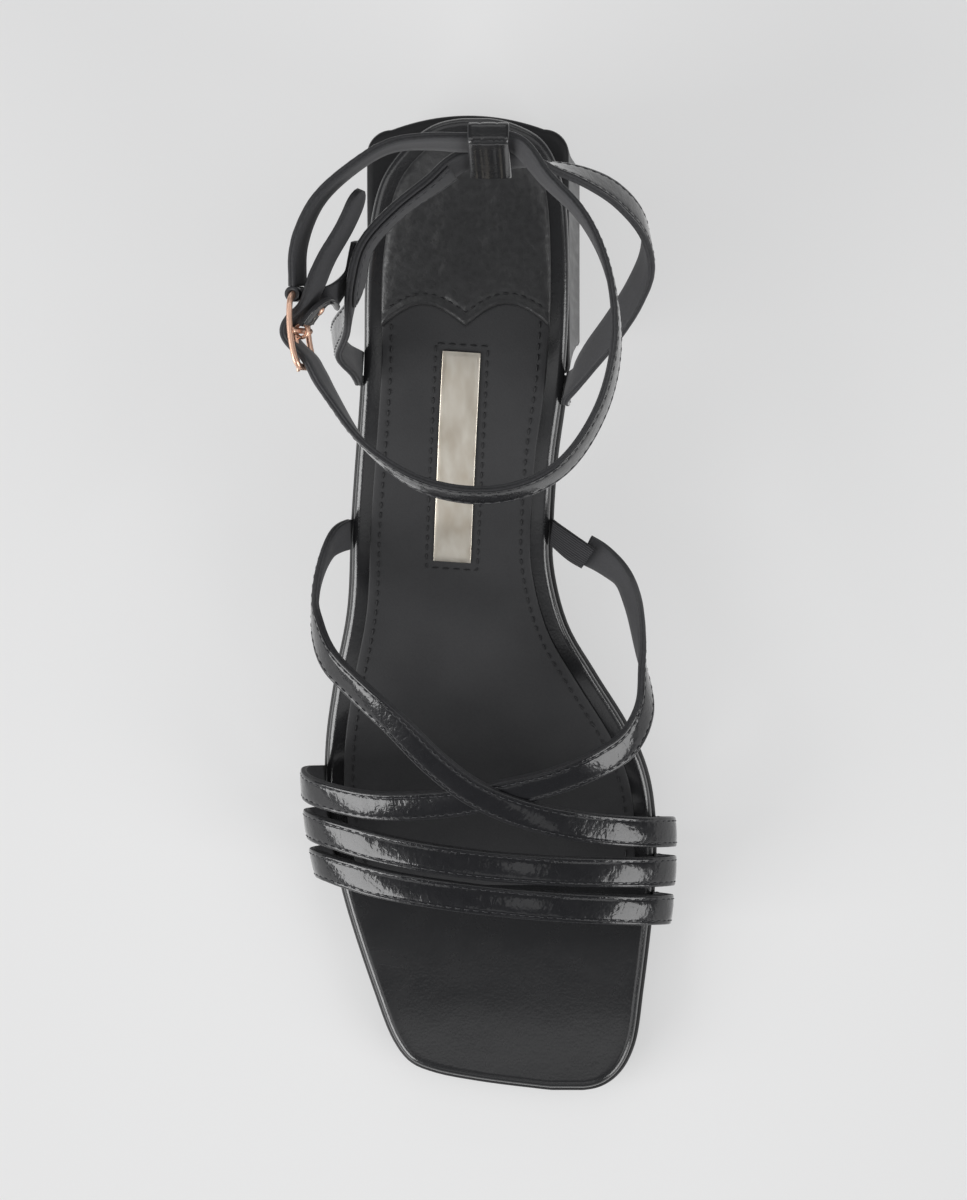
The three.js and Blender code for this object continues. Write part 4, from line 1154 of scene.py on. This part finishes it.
ankleBackLine = [
    (-0.08, -0.022, 1.005, 105), (-0.2, -0.01, 1.01, 99), (-0.31, 0.046, 1.01, 97), (-0.43, 0.146, 1, 101),
    (-0.488, 0.27, 0.982, 106),
]
tailLine = [(-0.292, 0.112, 0.99, 104), (-0.342, 0.213, 0.985, 106), (-0.403, 0.307, 0.98, 108)]

lean = math.radians(keeper["lean"])
keeperUp = Vector((0, math.sin(lean), math.cos(lean)))
keeperOut = Vector((0, math.cos(lean), -math.sin(lean)))
keeperMiddle = anklePoint(0.106, 0, 0.931)
stackHeight = ankle["slingWidth"] + ankle["strapWidth"] + keeper["play"]


def keeperRows(height):
    reach = 0.6 * keeper["width"]
    middle = keeperMiddle + keeperUp * height
    return [(middle + Vector((across, 0, 0)), keeperOut.copy()) for across in (reach, -reach)]


def makeSling():
    width, thickness = ankle["slingWidth"], straps["thickness"]
    rows = edgeSeat(1, ankle["slingInner"], width, thickness)
    rows += [ankleRow(*row) for row in slingLine]
    rows += keeperRows((width - stackHeight) / 2)
    rows += [ankleRow(*row) for row in slingOuterLine]
    rows += edgeSeat(-1, ankle["slingOuter"], width, thickness)[::-1]
    frames = framesAlong(rows)
    section = strapSection(width, thickness)
    piece = strapPiece("back_sling", frames, section, strapMaterials, seed=5)
    fitOut(piece, "patent_leather", "sling_strap")
    sewAlong("back_sling", frames, width, thickness)
    return frames


slingEnd = dict(width=7.6, thickness=0.8, gap=0.12, endAhead=0.4, hem=1.2, pitch=2, stitch=1.4)


def makeSlingEnd(frames):
    # the upper part of the sling lies inside the part that goes down to the sole, and ends square
    outerHalf = range(len(frames) // 2, len(frames))
    start = min(outerHalf, key=lambda i: abs(frames[i]["point"].x - keeperMiddle.x + keeper["width"]))
    endLine = anklePoint(0, slingEnd["endAhead"], 0).y
    finish = min(outerHalf, key=lambda i: abs(frames[i]["point"].y - endLine))
    offset = (straps["thickness"] + slingEnd["thickness"]) / 2 + slingEnd["gap"]
    layer = []
    for f in frames[start:finish + 1]:
        point = f["point"] - f["normal"] * offset
        layer.append(dict(f, point=point, width=-f["width"], normal=-f["normal"]))
    section = strapSection(slingEnd["width"], slingEnd["thickness"], channel=0.9)
    piece = strapPiece("sling_end", layer, section, [lining, edgePaint, lining], seed=8)
    fitOut(piece, "patent_leather")
    sewAlong("sling_end", layer, slingEnd["width"], slingEnd["thickness"])
    end = layer[-1]
    middle = end["point"] - end["tangent"] * slingEnd["hem"] + end["normal"] * slingEnd["thickness"] / 2
    reach = slingEnd["width"] / 2 - straps["stitchInset"]
    across = [(middle + end["width"] * reach * (step / 5 - 1), end["normal"]) for step in range(11)]
    sizes = dict(slingEnd, threadRadius=straps["threadRadius"])
    sewRow("sling_end_stitches", across, sizes, thread, "patent_leather")


makeSlingEnd(makeSling())


def makeKeeper():
    # a folded leather loop round both straps
    half, height = straps["thickness"] / 2 + keeper["play"], stackHeight / 2 + keeper["play"]
    wall = keeper["wall"]
    radius = keeper["play"] / 2 + wall / 2
    loop = roundedLoop(half + wall / 2 - radius, height + wall / 2 - radius, radius, 7, 10)
    path = [keeperMiddle + keeperOut * out + keeperUp * up for out, up in loop]
    count = len(path)
    w, t = keeper["width"] / 2, wall / 2
    section = [(w - 0.1, -t, 1), (w, -t + 0.1, 1), (w, t - 0.3, 0), (w - 0.3, t, 0)]
    section += [(w * 0.55, t + 0.05, 0), (w * 0.42, t - 0.12, 0), (w * 0.3, t + 0.06, 0), (0, t + 0.1, 0)]
    section += [(-w * 0.3, t + 0.06, 0), (-w * 0.42, t - 0.12, 0), (-w * 0.55, t + 0.05, 0), (-w + 0.3, t, 1)]
    section += [(-w, t - 0.3, 1), (-w, -t + 0.1, 1), (-w + 0.1, -t, 2), (0, -t, 2)]
    points, uvs = [], []
    run = 0
    for i, p in enumerate(path):
        tangent = (path[(i + 1) % count] - path[i - 1]).normalized()
        across = Vector((1, 0, 0))
        normal = across.cross(tangent) * -1
        if normal.dot(p - keeperMiddle) < 0:
            normal = -normal
        for a, b, _ in section:
            points.append(p + across * a + normal * b)
            uvs.append((a, run))
        run += (path[(i + 1) % count] - p).length
    faces = ringFaces(count, len(section), closed=True)
    slots = [finish for _, _, finish in section] * count
    piece = makePiece("folded_keeper", points, faces, uvs, [footbedCover, edgePaint, lining], slots)
    return fitOut(piece, "patent_leather", "keeper_loop")


makeKeeper()


# Buckle

buckle = dict(
    length=18.5, height=12.6, wire=1.6, corner=2.6, lean=18, swing=5.4, prong=1.2, fold=0.9, play=0.3,
    arch=0.9, archDrop=0.25, coilWire=0.84, coilHeight=1.1, coilTurns=2,
)
buckleMiddle = anklePoint(-0.479, 0.507, 0.97)
swing, tilt = math.radians(buckle["swing"]), math.radians(buckle["lean"])
buckleForward = Vector((math.sin(swing), -math.cos(swing), 0))
buckleUp = Vector((-math.cos(swing) * math.sin(tilt), -math.sin(swing) * math.sin(tilt), math.cos(tilt)))
buckleOut = buckleForward.cross(buckleUp).normalized()
barReach = buckle["wire"] / math.sqrt(2) + buckle["play"]
foldReach = barReach + buckle["fold"]
barSpan = (buckle["length"] - buckle["wire"]) / 2


def inBuckle(forward, up, out):
    return buckleMiddle + buckleForward * forward + buckleUp * up + buckleOut * out


def buckleRow(forward, out, turn):
    turn = math.radians(turn)
    return inBuckle(forward, 0, out), buckleOut * math.cos(turn) - buckleForward * math.sin(turn)


def windingRows():
    # the strap goes inside the rear bar, outside the middle bar and inside the front bar
    half = ankle["strapThickness"] / 2
    wide, tight = foldReach + buckle["play"] + half, barReach + half
    rise = math.degrees(math.asin(2 * wide / barSpan))
    fall = math.degrees(math.asin((wide + tight) / barSpan))

    def onArc(bar, radius, side, turn):
        angle = math.radians(turn)
        return buckleRow(bar - side * radius * math.sin(angle), side * radius * math.cos(angle), turn)

    return [
        onArc(-barSpan, wide, -1, 0), onArc(-barSpan, wide, -1, rise), onArc(0, wide, 1, rise),
        onArc(0, wide, 1, 0), onArc(0, wide, 1, -fall), onArc(barSpan, tight, -1, -fall),
        onArc(barSpan, tight, -1, 0),
    ]


def makeAnkleStrap():
    width, thickness = ankle["strapWidth"], ankle["strapThickness"]
    rows = [ankleRow(*row) for row in tailLine] + windingRows()
    rows += [ankleRow(*row) for row in ankleFrontLine]
    rows += keeperRows((stackHeight - width) / 2)
    rows += [ankleRow(*row) for row in ankleBackLine]
    rows.append(buckleRow(-barSpan - (barReach + foldReach) / 2, 0, 0))
    frames = framesAlong(rows)

    def tipped(run, a, b):
        # the tail ends in a rounded tip
        left = 1 - min(run / ankle["tip"], 1)
        return a * math.sqrt(max(1 - left ** 2, 0.02)), b

    section = strapSection(width, thickness)
    piece = strapPiece("ankle_band", frames, section, strapMaterials, seed=6, shape=tipped)
    fitOut(piece, "patent_leather", "ankle_strap")
    sewAlong("ankle_band", frames, width, thickness, start=0.02)
    # the fold round the rear bar
    fold = buckle["wire"] / 2 + 0.05 + buckle["fold"] / 2
    w, t = width / 2, buckle["fold"] / 2
    section = [
        (w, -t, 1), (w, t, 0), (w * 0.5, t + 0.1, 0), (0, t + 0.12, 0), (-w * 0.5, t + 0.1, 0),
        (-w, t, 1), (-w, -t, 2), (0, -t, 2),
    ]
    centre, rings = inBuckle(-barSpan, 0, 0), 24
    points, uvs = [], []
    for ring in range(rings):
        bend = 2 * math.pi * ring / rings
        normal = buckleOut * math.sin(bend) - buckleForward * math.cos(bend)
        for a, b, _ in section:
            points.append(centre + buckleUp * a + normal * (fold + b))
            uvs.append((a, ring))
    faces = ringFaces(rings, len(section), closed=True, turned=True)
    slots = [finish for _, _, finish in section] * rings
    piece = makePiece("ankle_band_fold", points, faces, uvs, strapMaterials, slots)
    fitOut(piece, "patent_leather", "ankle_strap")


makeAnkleStrap()


def makeBuckle():
    half, radius = buckle["height"] / 2 - buckle["wire"] / 2, buckle["corner"]
    arch = lambda forward: buckle["arch"] * math.cos(math.pi / 2 * forward / barSpan) - buckle["archDrop"]
    path = roundedLoop(barSpan - radius, half - radius, radius, 8, 12)
    line = [inBuckle(f, u, arch(f)) for f, u in path]
    frameBar = tubePiece(
        "buckle_bars", line, lambda t: buckle["wire"] / 2, rose,
        closed=True, sides=14, flatten=0.85, up=buckleOut,
    )
    fitOut(frameBar, "buckle_metal", "buckle_frame")
    middle = [inBuckle(0, -half + 2 * half * step / 16, 0.15) for step in range(17)]
    middleBar = tubePiece("buckle_middle_bar", middle, lambda t: buckle["wire"] / 2 * 0.9, rose, sides=12)
    fitOut(middleBar, "buckle_metal", "buckle_frame")
    reach, steps = barReach + 0.15, 48
    coil = []
    for step in range(steps + 1):
        angle = 2 * math.pi * buckle["coilTurns"] * step / steps
        rise = buckle["coilHeight"] * (step / steps - 0.5)
        coil.append(inBuckle(reach * math.cos(angle), rise, reach * math.sin(angle)))
    coilBar = tubePiece("prong_coil", coil, lambda t: buckle["coilWire"] / 2, rose, sides=10)
    fitOut(coilBar, "buckle_metal", "buckle_prong")
    start = inBuckle(0.4, 0, reach)
    tip = inBuckle(barSpan + buckle["wire"] / 2, 0, buckle["wire"] / 2 + buckle["play"] + buckle["prong"] / 2)
    pin = [start.lerp(tip, step / 16) for step in range(17)]
    pinBar = tubePiece("prong_pin", pin, lambda t: buckle["prong"] / 2 * (1 - 0.35 * t ** 3), rose, sides=10)
    fitOut(pinBar, "buckle_metal", "buckle_prong")


makeBuckle()

tab = dict(width=6.5, thickness=1.2, turn=42, drop=2, ease=0.5, rivet=1.2, rivetAt=0.2)


def makeBuckleTab():
    thickness = tab["thickness"]
    sewn = [ankleRow(*row) for row in slingOuterLine[2:4]]
    away = (straps["thickness"] + thickness) / 2 + sole["clearance"] + tab["ease"]
    moved = []
    for point, face in sewn:
        down = (Vector((0, 0, -1)) + face * face.z).normalized()
        moved.append((point + face * away + down * tab["drop"], face))
    turn = math.radians(tab["turn"])
    eyeSide = buckleForward * -math.cos(turn) - buckleOut * math.sin(turn)
    face = eyeSide.cross(buckleUp).normalized()
    reaches = (barReach + foldReach) / 2, foldReach + thickness
    rows = [(buckleMiddle + eyeSide * reach, face.copy()) for reach in reaches] + moved[::-1]
    frames = framesAlong(rows, 0.5)
    section = strapSection(tab["width"], thickness)
    piece = strapPiece("buckle_holder", frames, section, strapMaterials, seed=7)
    fitOut(piece, "patent_leather", "buckle_tab")
    makeRivet(frames[int(len(frames) * tab["rivetAt"])], thickness)


def makeRivet(frameHere, thickness):
    # a small copper dome through the tab, on the side that faces up
    up = frameHere["normal"] * math.copysign(1, frameHere["normal"].z)
    seat = frameHere["point"] + up * thickness / 2
    dome = [(0.6, -0.1), (1, 0), (1, 0.12), (0.9, 0.34), (0.62, 0.52), (0.25, 0.6)]
    points, sides = [], 20
    for reach, rise in dome:
        for corner in range(sides):
            angle = 2 * math.pi * corner / sides
            across = frameHere["width"] * math.cos(angle) + frameHere["tangent"] * math.sin(angle)
            points.append(seat + across * tab["rivet"] * reach + up * rise)
    faces = ringFaces(len(dome), sides, capped=False)
    faces.append(tuple(range(len(points) - sides, len(points))))
    uvs = [(p.x, p.y) for p in points]
    fitOut(makePiece("tab_rivet", points, faces, uvs, [rose]), "buckle_metal")


makeBuckleTab()
print("ankle made")


# Floor, light and camera

studio = dict(
    floorGlow=0.395, paintedLightPool=0.485, floorSize=3000, worldTone=0.19, camera=(58, -110, 1400),
    aim=(3, -90.5, 40), zoom=1.2, focalPixels=4620, photoHeight=1200, filmHeight=36,
)


def makeFloor():
    size = studio["floorSize"]
    corners = [Vector((x, y, -0.05)) for x, y in ((-size, -size), (size, -size), (size, size), (-size, size))]
    material = newMaterial("paleFloor", {
        "Base Color": (0.36, 0.36, 0.36, 1), "Roughness": 0.9, "Emission Strength": 1.0,
    })
    # painted light: the paper's emission rises towards white round the shoe, a painted pool of light
    source = addNode(material, "ShaderNodeTexCoord").outputs["Object"]
    spot = dict(Location=(0, 0.2, 0), Scale=(2.9, 2.2, 1))
    place = patternOf(material, "ShaderNodeMapping", "Vector", source, **spot)
    spread = patternOf(material, "ShaderNodeTexGradient", "Fac", place, gradient_type="SPHERICAL")
    # painted light: the brighter emission near the shoe stands in for the light pooled there
    follow(material, "Emission Color", spread, (0.0, studio["floorGlow"]), (0.9, studio["paintedLightPool"]))
    floor = makePiece("floor", corners, [(0, 1, 2, 3)], [(c.x, c.y) for c in corners], [material])


def addSoftbox(name, place, target, size, power):
    light = bpy.data.lights.new(name, "AREA")
    light.shape = "RECTANGLE"
    light.size, light.size_y = size
    light.energy = power
    box = bpy.data.objects.new(name, light)
    box.location = place
    box.rotation_euler = (Vector(target) - Vector(place)).to_track_quat("-Z", "Y").to_euler()
    bpy.context.scene.collection.objects.link(box)
    return box


def makeStudio():
    makeFloor()
    world = bpy.data.worlds.new("studio")
    world.use_nodes = True
    background = world.node_tree.nodes["Background"]
    background.inputs["Color"].default_value = (0.9, 0.92, 0.95, 1)
    background.inputs["Strength"].default_value = studio["worldTone"]
    bpy.context.scene.world = world
    middle = (0, -0.09, 0.05)
    addSoftbox("outer softbox", (-1.2, -0.75, 0.58), middle, (1.2, 0.76), 17)
    addSoftbox("inner softbox", (1.15, -0.8, 0.6), middle, (0.9, 0.75), 9.5)
    addSoftbox("outer fill", (-0.9, 0.05, 1.3), middle, (0.8, 1.0), 2.8)
    addSoftbox("inner fill", (0.95, 0.1, 1.3), middle, (0.7, 0.9), 2.2)
    addSoftbox("toe softbox", (0.0, -1.15, 1.0), middle, (0.8, 0.3), 0.4)
    addSoftbox("plate softbox", (0.06, -0.72, 1.25), middle, (0.4, 0.3), 0.28)
    addSoftbox("ceiling softbox", (0.0, 0.5, 1.5), (0, -0.15, 0), (1.1, 0.8), 1.6)
    addSoftbox("heel softbox", (0.0, 1.4, 0.8), middle, (1.5, 0.7), 2.6)


def makeCamera():
    camera = bpy.data.cameras.new("camera")
    camera.sensor_fit = "VERTICAL"
    camera.sensor_height = studio["filmHeight"]
    camera.lens = studio["filmHeight"] * studio["focalPixels"] * studio["zoom"] / studio["photoHeight"]
    camera.clip_start = 0.05
    holder = bpy.data.objects.new("camera", camera)
    place, aim = Vector(studio["camera"]), Vector(studio["aim"])
    holder.location = place * mm
    back = (place - aim).normalized()
    side = Vector((0, 1, 0)).cross(back).normalized()
    up = back.cross(side)
    holder.rotation_euler = Matrix((side, up, back)).transposed().to_euler()
    bpy.context.scene.collection.objects.link(holder)
    bpy.context.scene.camera = holder


makeStudio()
makeCamera()
bpy.context.scene.view_settings.view_transform = "Standard"
print("studio made")
